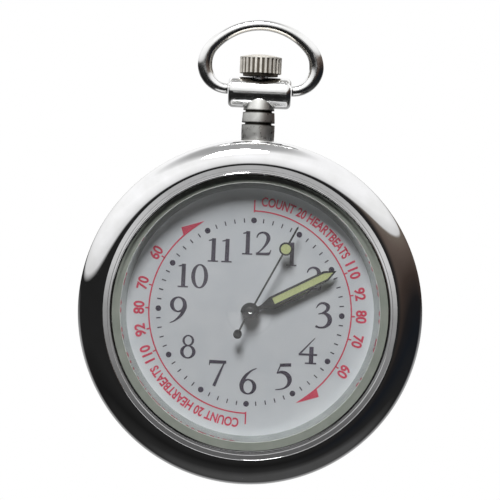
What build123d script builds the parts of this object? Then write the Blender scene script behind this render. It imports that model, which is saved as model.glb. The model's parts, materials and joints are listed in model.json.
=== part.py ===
from build123d import *
import math
import os

# Open-face fob watch with a quartz movement, in millimetres.
#
# The pieces are modelled on a bench: x runs to three o'clock, y to twelve o'clock and z out
# through the glass, with z = 0 in the middle of the case. write() then hangs the watch
# upright: +X stays at three o'clock, +Z points to twelve o'clock, the dial faces -Y, and the
# origin is the top of the bow's opening, in the bow's plane, where a chain or a pin carries it.

os.makedirs("parts", exist_ok=True)

# ---- case, glass and dial -------------------------------------------------------------
CASE_RADIUS = 20.0
CASE_BACK = -4.2          # height of the case body's back rim
CASE_FRONT = 2.0          # height of the joint between case body and bezel
CASE_BACK_ROUND = 2.8
CASE_WALL = 4.25
CASE_TENON = 0.9          # how far the case body's tenon stands up inside the bezel
TENON_WALL = 0.75
CASE_LINE = 0.12          # groove that shows where bezel and case body meet

BEZEL_ROUND = 2.4
BEZEL_HEIGHT = 2.8        # above the joint with the case body
BEZEL_LIP = 2.75          # from the outside in to the step
BEZEL_STEP = 0.3          # height of the step
BEZEL_FLAT = 0.6          # width of the flat ring inside the step
BEZEL_SLOPE = 0.4         # width of the slope from the flat ring down to the gasket
BEZEL_SLOPE_DROP = 0.1    # how much deeper than wide the slope is
BEZEL_LEDGE = 0.4

CRYSTAL_EDGE = 1.05       # thickness at the rim, under the chamfer
CRYSTAL_CHAMFER = 0.25
CRYSTAL_DOME = 0.32
GASKET_WALL = 0.3
GASKET_FLANGE = 0.25
GASKET_FLANGE_WIDTH = 0.9

DIAL_BACK = 1.3
DIAL_THICKNESS = 0.4
DIAL_CLEARANCE = 0.25     # from the dial's edge to the case's bore
DIAL_HOLE = 1.0
DIAL_FOOT_RADIUS = 0.35
DIAL_FOOT_LENGTH = 1.1
DIAL_FOOT_PLACE = 9.6
DIAL_FOOT_WALL = 0.2      # of the plate between a foot's hole and the battery's pocket

REHAUT_FOOT_WIDTH = 1.3
REHAUT_TOP_WIDTH = 0.65
BORE_CLEARANCE = 0.1      # of the rings that drop into the case's bore

# ---- pressed-on back ---------------------------------------------------------------------
COVER_SEAT_WIDTH = 0.6    # of the cover's rim, outside its seat in the case
COVER_THICKNESS = 1.0
COVER_LIP_WALL = 0.55
COVER_LIP_HEIGHT = 0.7
LIP_SEAT_DEPTH = 1.2
LIP_CLEARANCE = 0.05
PRY_NOTCH = (4.0, 0.9, 0.35)

# ---- pendant, crown and bow -----------------------------------------------------------
STEM_HEIGHT = -0.45       # height of the stem, pendant and bow pivots
NECK_TOP_RADIUS = 1.66
NECK_BELLY_RADIUS = 1.94
NECK_FOOT_RADIUS = 1.84
NECK_LENGTH = 3.85        # from the case to the barrel
NECK_BELLY_RISE = 1.6     # of the neck's widest place, over the case
NECK_SPIGOT_RADIUS = 1.3
NECK_GROOVE_RISES = (2.0, 3.45)
NECK_GROOVE_WIDTH = 0.26
NECK_GROOVE_DEPTH = 0.1
NECK_SINK = 1.0           # how far the neck's ends reach in before they are shaped
BARREL_RADIUS = 1.8
BARREL_LENGTH = 7.3
BARREL_ROUND = 0.55
STEM_RADIUS = 0.45
STEM_CLEARANCE = 0.1      # round the stem in its tube
TUBE_WALL = 0.35
TUBE_FOOT_RISE = 0.65     # of the tube's inner end, over the case's bore
TUBE_TOP_RISE = 0.5       # of its outer end, over the crown's foot

CROWN_RADIUS = 2.45
CROWN_GAP = 0.15          # from the barrel to the crown
CROWN_FOOT_RADIUS = 2.05
CROWN_FOOT_HEIGHT = 0.3
CROWN_HEIGHT = 1.9        # of the fluted part
CROWN_DOME = 0.35
CROWN_CAVITY_RADIUS = 1.4
CROWN_CAVITY_DEPTH = 1.7
CROWN_FLUTES = 26
CROWN_FLUTE_RADIUS = 0.2
CROWN_TRAVEL = 0.9
CROWN_RIM = 0.15          # plain rim above the flutes
SEAL_CLEARANCE = 0.05
SEAL_HEIGHT = 0.4

BOW_PIVOT_RISE = 0.35     # of the bow's pivots, over the barrel's middle
BOW_WIRE = 0.73           # radius of the bow's wire
BOW_HALF_WIDTH = 6.65     # to the wire's centre line
BOW_TOP_RISE = 7.5        # from the pivots to the wire's centre line at the top
BOW_SIDE_RADIUS = 3.4
BOW_PIN_RADIUS = 0.5
BOW_PIN_DEPTH = 1.2
BOW_PIN_CLEARANCE = 0.05
BOW_SIDE_GAP = 0.1

# ---- hands ----------------------------------------------------------------------------
HOUR_HAND_GAP = 0.3       # from the dial
MINUTE_HAND_GAP = 0.26    # from the hour hand
SECONDS_HAND_GAP = 0.31   # from the minute hand
HAND_THICKNESS = 0.14
LUME_THICKNESS = 0.1
HOUR_HAND_ANGLE = 65.2    # clockwise from twelve
MINUTE_HAND_ANGLE = 62.0
SECONDS_HAND_ANGLE = 27.0
HOUR_HAND_LENGTH = 8.3
MINUTE_HAND_LENGTH = 11.1
SECONDS_HAND_LENGTH = 11.4
HOUR_HAND_WIDTH = 1.45
MINUTE_HAND_WIDTH = 1.25
HAND_RIM = 0.25
HAND_NECK = 0.42
LUME_START = 3.0
LUME_DISC_PLACE = 8.4
LUME_DISC_RADIUS = 0.58
SECONDS_RING_RADIUS = 0.78
COUNTERWEIGHT_PLACE = 2.95
COUNTERWEIGHT_RADIUS = 0.5
HUB_RADIUS = 1.1
HAND_TAPER_START = 1.5
SECONDS_HAND_WIDTH = 0.22
SECONDS_HUB_RADIUS = 0.8
SECONDS_PIPE_RADIUS = 0.25
SECONDS_PIPE = 0.2

# ---- movement -------------------------------------------------------------------------
PLATE_STEM_GAP = 0.05     # from the stem to the plate over it
PLATE_HIGH = 0.5
PLATE_RIM = 1.0
FLANGE_WIDTH = 0.65
FLANGE_THICKNESS = 0.4
HOLDER_CLEARANCE = 0.1
BRIDGE_LOW = -2.3
BRIDGE_THICKNESS = 0.4
RUNNING_GAP = 0.04        # radial gap of a wheel on its post

ADDENDUM = 0.9
DEDENDUM = 1.2
TOOTH_ROOT_SHARE = 0.26   # half a tooth's width at its root, as a share of the pitch
TOOTH_TIP_SHARE = 0.1

TRAIN_MODULE = 0.08
ROTOR_MODULE = 0.07
MOTION_MODULE = 0.1
ROTOR_TEETH = 9
FIFTH_TEETH = 45
FIFTH_PINION_TEETH = 10
SECONDS_TEETH = 60
SECONDS_PINION_TEETH = 8
THIRD_TEETH = 60
THIRD_PINION_TEETH = 8
CENTER_TEETH = 64
CANNON_TEETH = 12
MINUTE_WHEEL_TEETH = 36
MINUTE_PINION_TEETH = 10
HOUR_TEETH = 40
SETTING_TEETH = 20

FIFTH_DIRECTION = 200.0   # from the centre to the fifth wheel, counter-clockwise from +x
ROTOR_DIRECTION = 250.0   # from the fifth wheel to the rotor
THIRD_DIRECTION = 300.0
MINUTE_WHEEL_DIRECTION = 60.0

SECONDS_ARBOR_RADIUS = 0.1
CENTER_BORE = 0.15
CENTER_TUBE_RADIUS = 0.42
CANNON_TUBE_RADIUS = 0.45
HOUR_TUBE_BORE = 0.48
HOUR_TUBE_RADIUS = 0.75
ARBOR_RADIUS = 0.12
POST_RADIUS = 0.2
SETTING_POST_RADIUS = 0.3

BATTERY_RADIUS = 3.4
BATTERY_THICKNESS = 2.6
BATTERY_DIRECTION = 10.25  # from the third wheel to the battery
BATTERY_GAP = 0.1         # from the third wheel's teeth to the battery
BATTERY_CLEARANCE = 0.15
BATTERY_WALL = 0.75       # of the plate outside the battery's pocket
COIL_RADIUS = 0.9
COIL_LENGTH = 6.6
COIL_PLACE = (-3.6, -6.9)
COIL_HEIGHT = -1.15
CORE_WIDTH = 0.9
CORE_THICKNESS = 0.5
MAGNET_RADIUS = 0.7

CLUTCH_RADIUS = 1.35
CLUTCH_FACE = 5.95        # where its face teeth end at rest
CLUTCH_TRAVEL = 0.3
LEVER_GROOVE = 9.1
LEVER_GROOVE_WIDTH = 0.5
LEVER_GROOVE_RADIUS = 0.22
LEVER_PIVOT = (-2.3, LEVER_GROOVE + CROWN_TRAVEL / 2)
LEVER_PIN_CLEARANCE = 0.07
YOKE_POST = (3.0, 6.3)
YOKE_THICKNESS = 0.2
YOKE_FINGER = 0.2
YOKE_HEAD = (5.3, 8.0)
LEVER_THICKNESS = 0.3
LEVER_DROP = 0.3          # from the stem down to the lever
LEVER_WIDTH = 0.36
LEVER_EYE = 0.65
LEVER_PIN_RADIUS = 0.12
STEM_SQUARE = 0.6
SQUARE_LOW = 5.6
SQUARE_HIGH = 8.2
PILOT_RADIUS = 0.24
PILOT_FOOT = 3.6
PILOT_BOSS = (3.5, 4.9)
GUIDE_BOSS = (10.6, 11.4)
GUIDE_HALF_WIDTH = 1.1
PILOT_HALF_WIDTH = 0.6
CLUTCH_TEETH = 12
CLUTCH_TOOTH_DEPTH = 0.25
CLUTCH_TOOTH_GAP = 0.32
CLUTCH_GROOVE = (0.8, 1.1)     # where the yoke's groove starts and ends, behind the face
CLUTCH_LENGTH = 1.4
CLUTCH_GROOVE_RADIUS = 0.8
CLUTCH_FLANGE_RADIUS = 1.1
CLUTCH_WINDOW = ((-1.5, 1.5), (5.3, 8.0))

PILLAR_RADIUS = 0.8
PILLAR_CLEARANCE = 0.5    # from the seconds wheel's teeth to the nearest pillar
PILLAR_DIRECTION = 64.8   # of that pillar
OUTER_PILLARS = ((-5.6, 1.2), (3.4, -6.4))
BRIDGE_MARGIN = 1.1       # from a pivot or pillar to the bridge's edge
BOARD_POSTS = ((-8.8, -2.8), (-2.2, -9.4))
BOARD_THICKNESS = 0.3
BOARD_RADIUS = 10.9
BOARD_GAP = 0.4
COIL_GAP = 0.1            # from the coil down to the board
SCREW_RADIUS = 0.3
SCREW_HEAD_RADIUS = 0.62
SCREW_HEAD_HEIGHT = 0.35
SCREW_SLOT = 0.16
SCREW_DEPTH = 1.0
STRAP_THICKNESS = 0.2
STRAP_WIDTH = 2.0
STRAP_REACH = (0.7, 0.9)  # of the strap's tip, past the battery's middle
INSULATOR_THICKNESS = 0.1
CHIP_PLACE = (-5.6, -7.9)
CHIP_RADIUS = 1.1
CHIP_HEIGHT = 0.6
CAN_PLACE = (-6.6, -4.9)
CAN_RADIUS = 0.75
CAN_LENGTH = 4.6
FIT = 0.01                # between pieces pressed together
CORE_END = 0.8            # how far the core stands out of the coil at each end
STATOR_LOW = -1.4
STATOR_THICKNESS = 0.35
STATOR_WIDTH = 0.9
STATOR_GAP = 0.1
STATOR_EYE = 1.3
AIR_GAP = 0.15
MAGNET_THICKNESS = 0.35
WASHER_RADIUS = 1.7
WASHER_BORE = 0.85
SCREW_LENGTH = 0.9

# Lower and upper heights of the wheels, from the bridge to the dial.
ARBOR_LOW = -2.15
ARBOR_TOP = 0.25
ROTOR_PINION_SPAN = (-1.72, -1.42)
FIFTH_SPAN = (-1.67, -1.47)
FIFTH_PINION_SPAN = (-1.35, -1.0)
SECONDS_SPAN = (-1.27, -1.07)
SECONDS_PINION_SPAN = (-0.95, -0.55)
THIRD_SPAN = (-0.87, -0.67)
THIRD_PINION_SPAN = (-0.5, -0.2)
CENTER_SPAN = (-0.45, -0.25)
CANNON_SPAN = (0.58, 0.88)
MOTION_SPAN = (0.58, 0.84)
HOUR_SPAN = (0.92, 1.1)
MINUTE_PINION_TOP = 1.14
WASHER_SPAN = (1.14, 1.26)
MINUTE_POST_TOP = 1.2
SETTING_POST_TOP = 1.0

# ---- heights and places worked out from the sizes above ---------------------------------
CASE_BORE = CASE_RADIUS - CASE_WALL
TENON_RADIUS = CASE_BORE + TENON_WALL
BEZEL_TOP = CASE_FRONT + BEZEL_HEIGHT
BEZEL_STEP_RADIUS = CASE_RADIUS - BEZEL_LIP
BEZEL_FLAT_RADIUS = BEZEL_STEP_RADIUS - BEZEL_FLAT
DIAL_FACE = DIAL_BACK + DIAL_THICKNESS
DIAL_RADIUS = CASE_BORE - DIAL_CLEARANCE
REHAUT_OUTER = CASE_BORE - BORE_CLEARANCE
REHAUT_TOP_RADIUS = REHAUT_OUTER - REHAUT_TOP_WIDTH
REHAUT_FOOT_RADIUS = REHAUT_OUTER - REHAUT_FOOT_WIDTH
GASKET_LOW = CASE_FRONT + CASE_TENON + BEZEL_LEDGE
CRYSTAL_LOW = GASKET_LOW + GASKET_FLANGE
GASKET_RADIUS = BEZEL_FLAT_RADIUS - BEZEL_SLOPE
CRYSTAL_RADIUS = GASKET_RADIUS - GASKET_WALL
GASKET_INNER = CRYSTAL_RADIUS - GASKET_FLANGE_WIDTH
COVER_FACE = CASE_BACK - COVER_THICKNESS
COVER_RADIUS = TENON_RADIUS + COVER_SEAT_WIDTH
COVER_LIP_OUTER = TENON_RADIUS - LIP_CLEARANCE
COVER_LIP_INNER = COVER_LIP_OUTER - COVER_LIP_WALL
HOLDER_LOW = CASE_BACK + BORE_CLEARANCE
NECK_BELLY_PLACE = CASE_RADIUS + NECK_BELLY_RISE
BARREL_PLACE = CASE_RADIUS + NECK_LENGTH + BARREL_RADIUS
BOW_PIVOT = BARREL_PLACE + BOW_PIVOT_RISE
HANG_HEIGHT = BOW_PIVOT + BOW_TOP_RISE - BOW_WIRE
TUBE_BORE = STEM_RADIUS + STEM_CLEARANCE
TUBE_RADIUS = TUBE_BORE + TUBE_WALL
TUBE_FOOT = CASE_BORE + TUBE_FOOT_RISE
CROWN_FOOT = BARREL_PLACE + BARREL_RADIUS + CROWN_GAP
TUBE_TOP = CROWN_FOOT + TUBE_TOP_RISE
CROWN_FLUTED_FOOT = CROWN_FOOT + CROWN_FOOT_HEIGHT
CROWN_CAVITY_TOP = CROWN_FOOT + CROWN_CAVITY_DEPTH
BRIDGE_HIGH = BRIDGE_LOW + BRIDGE_THICKNESS
BATTERY_HIGH = BRIDGE_LOW + BATTERY_THICKNESS
BOARD_HIGH = COIL_HEIGHT - COIL_RADIUS - COIL_GAP
BOARD_LOW = BOARD_HIGH - BOARD_THICKNESS
HOUR_HAND_HEIGHT = DIAL_FACE + HOUR_HAND_GAP
MINUTE_HAND_HEIGHT = HOUR_HAND_HEIGHT + HAND_THICKNESS + MINUTE_HAND_GAP
SECONDS_HAND_HEIGHT = MINUTE_HAND_HEIGHT + HAND_THICKNESS + SECONDS_HAND_GAP
HOUR_TUBE_TOP = HOUR_HAND_HEIGHT + HAND_THICKNESS
MINUTE_TUBE_TOP = MINUTE_HAND_HEIGHT + HAND_THICKNESS
SECONDS_ARBOR_TOP = SECONDS_HAND_HEIGHT + HAND_THICKNESS / 2
STRAP_END = OUTER_PILLARS[1]
YOKE_HIGH = STEM_HEIGHT - CLUTCH_GROOVE_RADIUS - RUNNING_GAP
YOKE_LOW = YOKE_HIGH - YOKE_THICKNESS
LEVER_HIGH = STEM_HEIGHT - STEM_RADIUS - LEVER_DROP
LEVER_LOW = LEVER_HIGH - LEVER_THICKNESS
LEVER_PIN_X = -(LEVER_GROOVE_RADIUS + LEVER_PIN_RADIUS + LEVER_PIN_CLEARANCE)
# The two gear pairs on the centre line share their partners' centre distance.
CENTER_MODULE = TRAIN_MODULE * (SECONDS_PINION_TEETH + THIRD_TEETH) / (THIRD_PINION_TEETH + CENTER_TEETH)
HOUR_MODULE = MOTION_MODULE * (CANNON_TEETH + MINUTE_WHEEL_TEETH) / (MINUTE_PINION_TEETH + HOUR_TEETH)
BOARD_SPAN = (BOARD_LOW - 1, BOARD_HIGH + 1)


def polar(distance, angle, origin=(0.0, 0.0)):
    """Point at a distance and a counter-clockwise angle in degrees from another point."""
    turn = math.radians(angle)
    return (origin[0] + distance * math.cos(turn), origin[1] + distance * math.sin(turn))


def centre_distance(module, first_teeth, second_teeth):
    return module * (first_teeth + second_teeth) / 2


FIFTH_PLACE = polar(centre_distance(TRAIN_MODULE, FIFTH_PINION_TEETH, SECONDS_TEETH), FIFTH_DIRECTION)
ROTOR_PLACE = polar(centre_distance(ROTOR_MODULE, ROTOR_TEETH, FIFTH_TEETH), ROTOR_DIRECTION, FIFTH_PLACE)
THIRD_PLACE = polar(centre_distance(TRAIN_MODULE, SECONDS_PINION_TEETH, THIRD_TEETH), THIRD_DIRECTION)
MINUTE_WHEEL_PLACE = polar(
    centre_distance(MOTION_MODULE, CANNON_TEETH, MINUTE_WHEEL_TEETH), MINUTE_WHEEL_DIRECTION
)
# The setting wheel sits over the stem, as far from the minute wheel as their teeth ask.
SETTING_PLACE = (
    0.0,
    MINUTE_WHEEL_PLACE[1]
    + math.sqrt(
        centre_distance(MOTION_MODULE, MINUTE_WHEEL_TEETH, SETTING_TEETH) ** 2
        - MINUTE_WHEEL_PLACE[0] ** 2
    ),
)
PLATE_LOW = STEM_HEIGHT + STEM_RADIUS + PLATE_STEM_GAP
SECONDS_TIP_RADIUS = TRAIN_MODULE * (SECONDS_TEETH / 2 + ADDENDUM)
THIRD_TIP_RADIUS = TRAIN_MODULE * (THIRD_TEETH / 2 + ADDENDUM)
BATTERY_PLACE = polar(THIRD_TIP_RADIUS + BATTERY_GAP + BATTERY_RADIUS, BATTERY_DIRECTION, THIRD_PLACE)
STRAP_TIP = (BATTERY_PLACE[0] + STRAP_REACH[0], BATTERY_PLACE[1] + STRAP_REACH[1])
# One dial foot passes beside the battery's pocket, and the other one is opposite.
BATTERY_DISTANCE = math.hypot(*BATTERY_PLACE)
PLATE_RADIUS = BATTERY_DISTANCE + BATTERY_RADIUS + BATTERY_CLEARANCE + BATTERY_WALL
FLANGE_RADIUS = PLATE_RADIUS + FLANGE_WIDTH
FOOT_SPACING = BATTERY_RADIUS + BATTERY_CLEARANCE + DIAL_FOOT_WALL + RUNNING_GAP + DIAL_FOOT_RADIUS
FOOT_TURN = math.acos(
    (DIAL_FOOT_PLACE**2 + BATTERY_DISTANCE**2 - FOOT_SPACING**2) / (2 * DIAL_FOOT_PLACE * BATTERY_DISTANCE)
)
FOOT_ANGLE = math.degrees(math.atan2(BATTERY_PLACE[1], BATTERY_PLACE[0]) - FOOT_TURN)
DIAL_FOOT_ANGLES = (FOOT_ANGLE, FOOT_ANGLE + 180)
NEAR_PILLAR = polar(SECONDS_TIP_RADIUS + PILLAR_CLEARANCE + PILLAR_RADIUS, PILLAR_DIRECTION)
BRIDGE_PILLARS = (OUTER_PILLARS[0], NEAR_PILLAR, OUTER_PILLARS[1])


# ---- shape helpers ----------------------------------------------------------------------
def write(name, *pieces):
    """Hang the pieces in the upright frame and write them as one named node."""
    hung = [Pos(0, STEM_HEIGHT, -HANG_HEIGHT) * Rot(90, 0, 0) * piece for piece in pieces]
    solids = [solid for piece in hung for solid in piece.solids()]
    export_step(solids[0] if len(solids) == 1 else Compound(children=solids), f"parts/{name}.step")


def disc(radius, low, high, place=(0.0, 0.0)):
    return Pos(place[0], place[1], (low + high) / 2) * Cylinder(radius, high - low)


def ring(radius, bore, low, high, place=(0.0, 0.0)):
    return disc(radius, low, high, place) - disc(bore, low - 1, high + 1, place)


def block(x, y, z):
    """Box between two limits on each axis."""
    size = (x[1] - x[0], y[1] - y[0], z[1] - z[0])
    return Pos((x[0] + x[1]) / 2, (y[0] + y[1]) / 2, (z[0] + z[1]) / 2) * Box(*size)


def bar(radius, start, end, x=0.0, height=STEM_HEIGHT):
    """Round bar along y, such as the stem, between two distances from the watch's centre."""
    return Pos(x, (start + end) / 2, height) * Rot(90, 0, 0) * Cylinder(radius, end - start)


def turned(*edges):
    """Solid of revolution about the watch's axis from the edges of its section in the xz plane."""
    return revolve(make_face(*edges), Axis.Z)


def section(*points):
    """Straight edges through (radius, height) points, for turned()."""
    return Polyline(*[(radius, 0, height) for radius, height in points]).edges()


def quarter(start, middle, end):
    """Arc through three (radius, height) points, for turned()."""
    return ThreePointArc(*[(radius, 0, height) for radius, height in (start, middle, end)]).edges()


def rounded_corner(centre, radius, angle):
    """Middle point of a rounded corner, for quarter()."""
    return polar(radius, angle, centre)


def gear(module, teeth, low, high, place=(0.0, 0.0), turn=0.0):
    """Spur gear with straight-sided teeth, slim enough to leave backlash."""
    pitch_radius = module * teeth / 2
    tip = pitch_radius + ADDENDUM * module
    root = pitch_radius - DEDENDUM * module
    pitch = 360 / teeth
    corners = (
        (root, -TOOTH_ROOT_SHARE),
        (tip, -TOOTH_TIP_SHARE),
        (tip, TOOTH_TIP_SHARE),
        (root, TOOTH_ROOT_SHARE),
    )
    points = [
        polar(radius, turn + (tooth + share) * pitch, place)
        for tooth in range(teeth)
        for radius, share in corners
    ]
    outline = make_face(Polyline(*points, close=True))
    return Pos(0, 0, low) * extrude(outline, high - low)


def meshed_turn(driver_teeth, driver_turn, direction, teeth):
    """Turn that puts a gear's teeth in the gaps of its driver, which lies against direction."""
    share = driver_teeth / teeth
    return direction + 180 - share * (driver_turn - direction) - 180 / teeth


# ---- case -------------------------------------------------------------------------------
def case_body():
    """Turned middle of the case, with a tenon for the bezel and a seat for the back."""
    round_centre = (CASE_RADIUS - CASE_BACK_ROUND, CASE_BACK + CASE_BACK_ROUND)
    seat_radius = COVER_LIP_OUTER + LIP_CLEARANCE
    seat_top = CASE_BACK + LIP_SEAT_DEPTH
    edges = section(
        (CASE_RADIUS, round_centre[1]),
        (CASE_RADIUS, CASE_FRONT - CASE_LINE),
        (CASE_RADIUS - CASE_LINE, CASE_FRONT),
        (TENON_RADIUS, CASE_FRONT),
        (TENON_RADIUS, CASE_FRONT + CASE_TENON),
        (CASE_BORE, CASE_FRONT + CASE_TENON),
        (CASE_BORE, seat_top),
        (seat_radius, seat_top),
        (seat_radius, CASE_BACK),
        (round_centre[0], CASE_BACK),
    )
    edges += quarter(
        (round_centre[0], CASE_BACK),
        rounded_corner(round_centre, CASE_BACK_ROUND, 315),
        (CASE_RADIUS, round_centre[1]),
    )
    return turned(edges) - bar(NECK_SPIGOT_RADIUS + FIT, CASE_BORE - 1, CASE_RADIUS + 1)


def bezel():
    """Polished round bezel with a narrow inner step that slopes down to the glass."""
    round_centre = (CASE_RADIUS - BEZEL_ROUND, BEZEL_TOP - BEZEL_ROUND)
    step_height = BEZEL_TOP - BEZEL_STEP
    slope_foot = step_height - BEZEL_SLOPE - BEZEL_SLOPE_DROP
    edges = section(
        (round_centre[0], BEZEL_TOP),
        (BEZEL_STEP_RADIUS, BEZEL_TOP - BEZEL_STEP / 3),
        (BEZEL_STEP_RADIUS, step_height),
        (BEZEL_FLAT_RADIUS, step_height),
        (GASKET_RADIUS, slope_foot),
        (GASKET_RADIUS, GASKET_LOW),
        (CASE_BORE, GASKET_LOW),
        (CASE_BORE, GASKET_LOW - BEZEL_LEDGE),
        (TENON_RADIUS, GASKET_LOW - BEZEL_LEDGE),
        (TENON_RADIUS, CASE_FRONT),
        (CASE_RADIUS - CASE_LINE, CASE_FRONT),
        (CASE_RADIUS, CASE_FRONT + CASE_LINE),
        (CASE_RADIUS, round_centre[1]),
    )
    edges += quarter(
        (CASE_RADIUS, round_centre[1]),
        rounded_corner(round_centre, BEZEL_ROUND, 45),
        (round_centre[0], BEZEL_TOP),
    )
    return turned(edges)


def crystal():
    """Low-domed glass with a ground chamfer round its edge."""
    rim = CRYSTAL_LOW + CRYSTAL_EDGE
    rise = CRYSTAL_CHAMFER + CRYSTAL_DOME
    blank = turned(
        section(
            (0, CRYSTAL_LOW),
            (CRYSTAL_RADIUS, CRYSTAL_LOW),
            (CRYSTAL_RADIUS, rim),
            (CRYSTAL_RADIUS - rise, rim + rise),
            (0, rim + rise),
            (0, CRYSTAL_LOW),
        )
    )
    shoulder_radius = CRYSTAL_RADIUS - CRYSTAL_CHAMFER
    dome_radius = (shoulder_radius**2 + CRYSTAL_DOME**2) / (2 * CRYSTAL_DOME)
    return blank & Pos(0, 0, rim + rise - dome_radius) * Sphere(dome_radius)


def crystal_gasket():
    """L-shaped ring under and around the glass."""
    wall_top = CRYSTAL_LOW + CRYSTAL_EDGE / 2
    return (
        ring(GASKET_RADIUS, GASKET_INNER, GASKET_LOW, wall_top)
        - disc(CRYSTAL_RADIUS, CRYSTAL_LOW, wall_top + 1)
    )


def rehaut_ring():
    """Mirror-bright flange that slopes from the glass down to the dial."""
    return turned(
        section(
            (REHAUT_FOOT_RADIUS, DIAL_FACE),
            (REHAUT_OUTER, DIAL_FACE),
            (REHAUT_OUTER, GASKET_LOW),
            (REHAUT_TOP_RADIUS, GASKET_LOW),
            (REHAUT_FOOT_RADIUS, DIAL_FACE),
        )
    )


def dial():
    """Round plate on two feet, with a centre hole for the hands."""
    plate = ring(DIAL_RADIUS, DIAL_HOLE, DIAL_BACK, DIAL_FACE)
    for angle in DIAL_FOOT_ANGLES:
        place = polar(DIAL_FOOT_PLACE, angle)
        plate += disc(DIAL_FOOT_RADIUS, DIAL_BACK - DIAL_FOOT_LENGTH, DIAL_BACK + 0.1, place)
    return plate


def back_cover():
    """Pressed-on back: a flat disc with a rounded edge, a sprung lip and a notch for a case knife."""
    flat_radius = COVER_RADIUS - COVER_THICKNESS
    edges = section(
        (flat_radius, COVER_FACE),
        (0, COVER_FACE),
        (0, CASE_BACK),
        (COVER_LIP_INNER, CASE_BACK),
        (COVER_LIP_INNER, CASE_BACK + COVER_LIP_HEIGHT),
        (COVER_LIP_OUTER, CASE_BACK + COVER_LIP_HEIGHT),
        (COVER_LIP_OUTER, CASE_BACK),
        (COVER_RADIUS, CASE_BACK),
    )
    edges += quarter(
        (COVER_RADIUS, CASE_BACK),
        rounded_corner((flat_radius, CASE_BACK), COVER_THICKNESS, 315),
        (flat_radius, COVER_FACE),
    )
    width, depth, height = PRY_NOTCH
    notch = Pos(0, -COVER_RADIUS, CASE_BACK - height / 2) * Box(width, 2 * depth, height)
    return turned(edges) - notch


def back_gasket():
    low = CASE_BACK + COVER_LIP_HEIGHT
    high = CASE_BACK + LIP_SEAT_DEPTH
    return ring(COVER_LIP_OUTER, COVER_LIP_INNER, low, high)


# ---- pendant, crown and bow ---------------------------------------------------------------
def pendant_barrel():
    """Cross piece whose ends hold the bow's pins, bored for the crown tube."""
    body = Pos(0, BARREL_PLACE, STEM_HEIGHT) * Rot(0, 90, 0) * Cylinder(BARREL_RADIUS, BARREL_LENGTH)
    body = fillet(body.edges().filter_by(GeomType.CIRCLE), BARREL_ROUND)
    body -= bar(TUBE_RADIUS + FIT, BARREL_PLACE - 2 * BARREL_RADIUS, BARREL_PLACE + 2 * BARREL_RADIUS)
    depth = BOW_PIN_DEPTH + BOW_SIDE_GAP
    for side in (-1, 1):
        middle = side * (BARREL_LENGTH - depth) / 2
        bore = Cylinder(BOW_PIN_RADIUS + BOW_PIN_CLEARANCE, depth)
        body -= Pos(middle, BOW_PIVOT, STEM_HEIGHT) * Rot(0, 90, 0) * bore
    return body


def pendant_neck():
    """Barrel-shaped neck with two turned grooves, shaped to the case below and the barrel above."""
    foot = CASE_RADIUS - NECK_SINK
    top = BARREL_PLACE - BARREL_RADIUS + NECK_SINK
    # The section is drawn with the distance from the watch's centre as its height.
    edges = section((NECK_FOOT_RADIUS, foot), (0, foot), (0, top), (NECK_TOP_RADIUS, top))
    edges += quarter(
        (NECK_TOP_RADIUS, top), (NECK_BELLY_RADIUS, NECK_BELLY_PLACE), (NECK_FOOT_RADIUS, foot)
    )
    neck = Pos(0, 0, STEM_HEIGHT) * Rot(-90, 0, 0) * turned(edges)
    for rise in NECK_GROOVE_RISES:
        groove = Cylinder(2 * NECK_BELLY_RADIUS, NECK_GROOVE_WIDTH)
        groove -= Cylinder(NECK_TOP_RADIUS - NECK_GROOVE_DEPTH, NECK_GROOVE_WIDTH)
        neck -= Pos(0, CASE_RADIUS + rise, STEM_HEIGHT) * Rot(90, 0, 0) * groove
    neck -= case_body()
    neck -= pendant_barrel()
    spigot = bar(NECK_SPIGOT_RADIUS, TUBE_FOOT, CASE_RADIUS + NECK_SINK)
    neck = neck - bar(NECK_SPIGOT_RADIUS, foot - 1, CASE_RADIUS + NECK_SINK) + spigot
    return neck - bar(TUBE_RADIUS + FIT, TUBE_FOOT - 1, top + 1)


def crown_tube():
    """Tube pressed through the pendant, which guides the stem and carries the crown's seal."""
    return bar(TUBE_RADIUS, TUBE_FOOT, TUBE_TOP) - bar(TUBE_BORE, TUBE_FOOT - 1, TUBE_TOP + 1)


def crown():
    """Fluted crown with a domed top and a cavity that slides over the crown tube."""
    foot = CROWN_FLUTED_FOOT
    top = foot + CROWN_HEIGHT
    body = bar(CROWN_FOOT_RADIUS, CROWN_FOOT, top) + bar(CROWN_RADIUS, foot, top)
    dome_radius = (CROWN_RADIUS**2 + CROWN_DOME**2) / (2 * CROWN_DOME)
    dome = Pos(0, top + CROWN_DOME - dome_radius, STEM_HEIGHT) * Sphere(dome_radius)
    body += dome & bar(CROWN_RADIUS, top - CROWN_DOME, top + 2 * CROWN_DOME)
    for flute in range(CROWN_FLUTES):
        x, z = polar(CROWN_RADIUS + CROWN_FLUTE_RADIUS / 3, 360 * flute / CROWN_FLUTES)
        body -= bar(CROWN_FLUTE_RADIUS, foot - 1, top - CROWN_RIM, x, STEM_HEIGHT + z)
    return body - bar(CROWN_CAVITY_RADIUS, CROWN_FOOT - 1, CROWN_CAVITY_TOP)


def crown_gasket():
    """Seal inside the crown that slides on the crown tube."""
    outside = bar(CROWN_CAVITY_RADIUS, CROWN_FOOT, CROWN_FOOT + SEAL_HEIGHT)
    return outside - bar(TUBE_RADIUS + SEAL_CLEARANCE, CROWN_FOOT - 1, CROWN_FOOT + 1)


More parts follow.
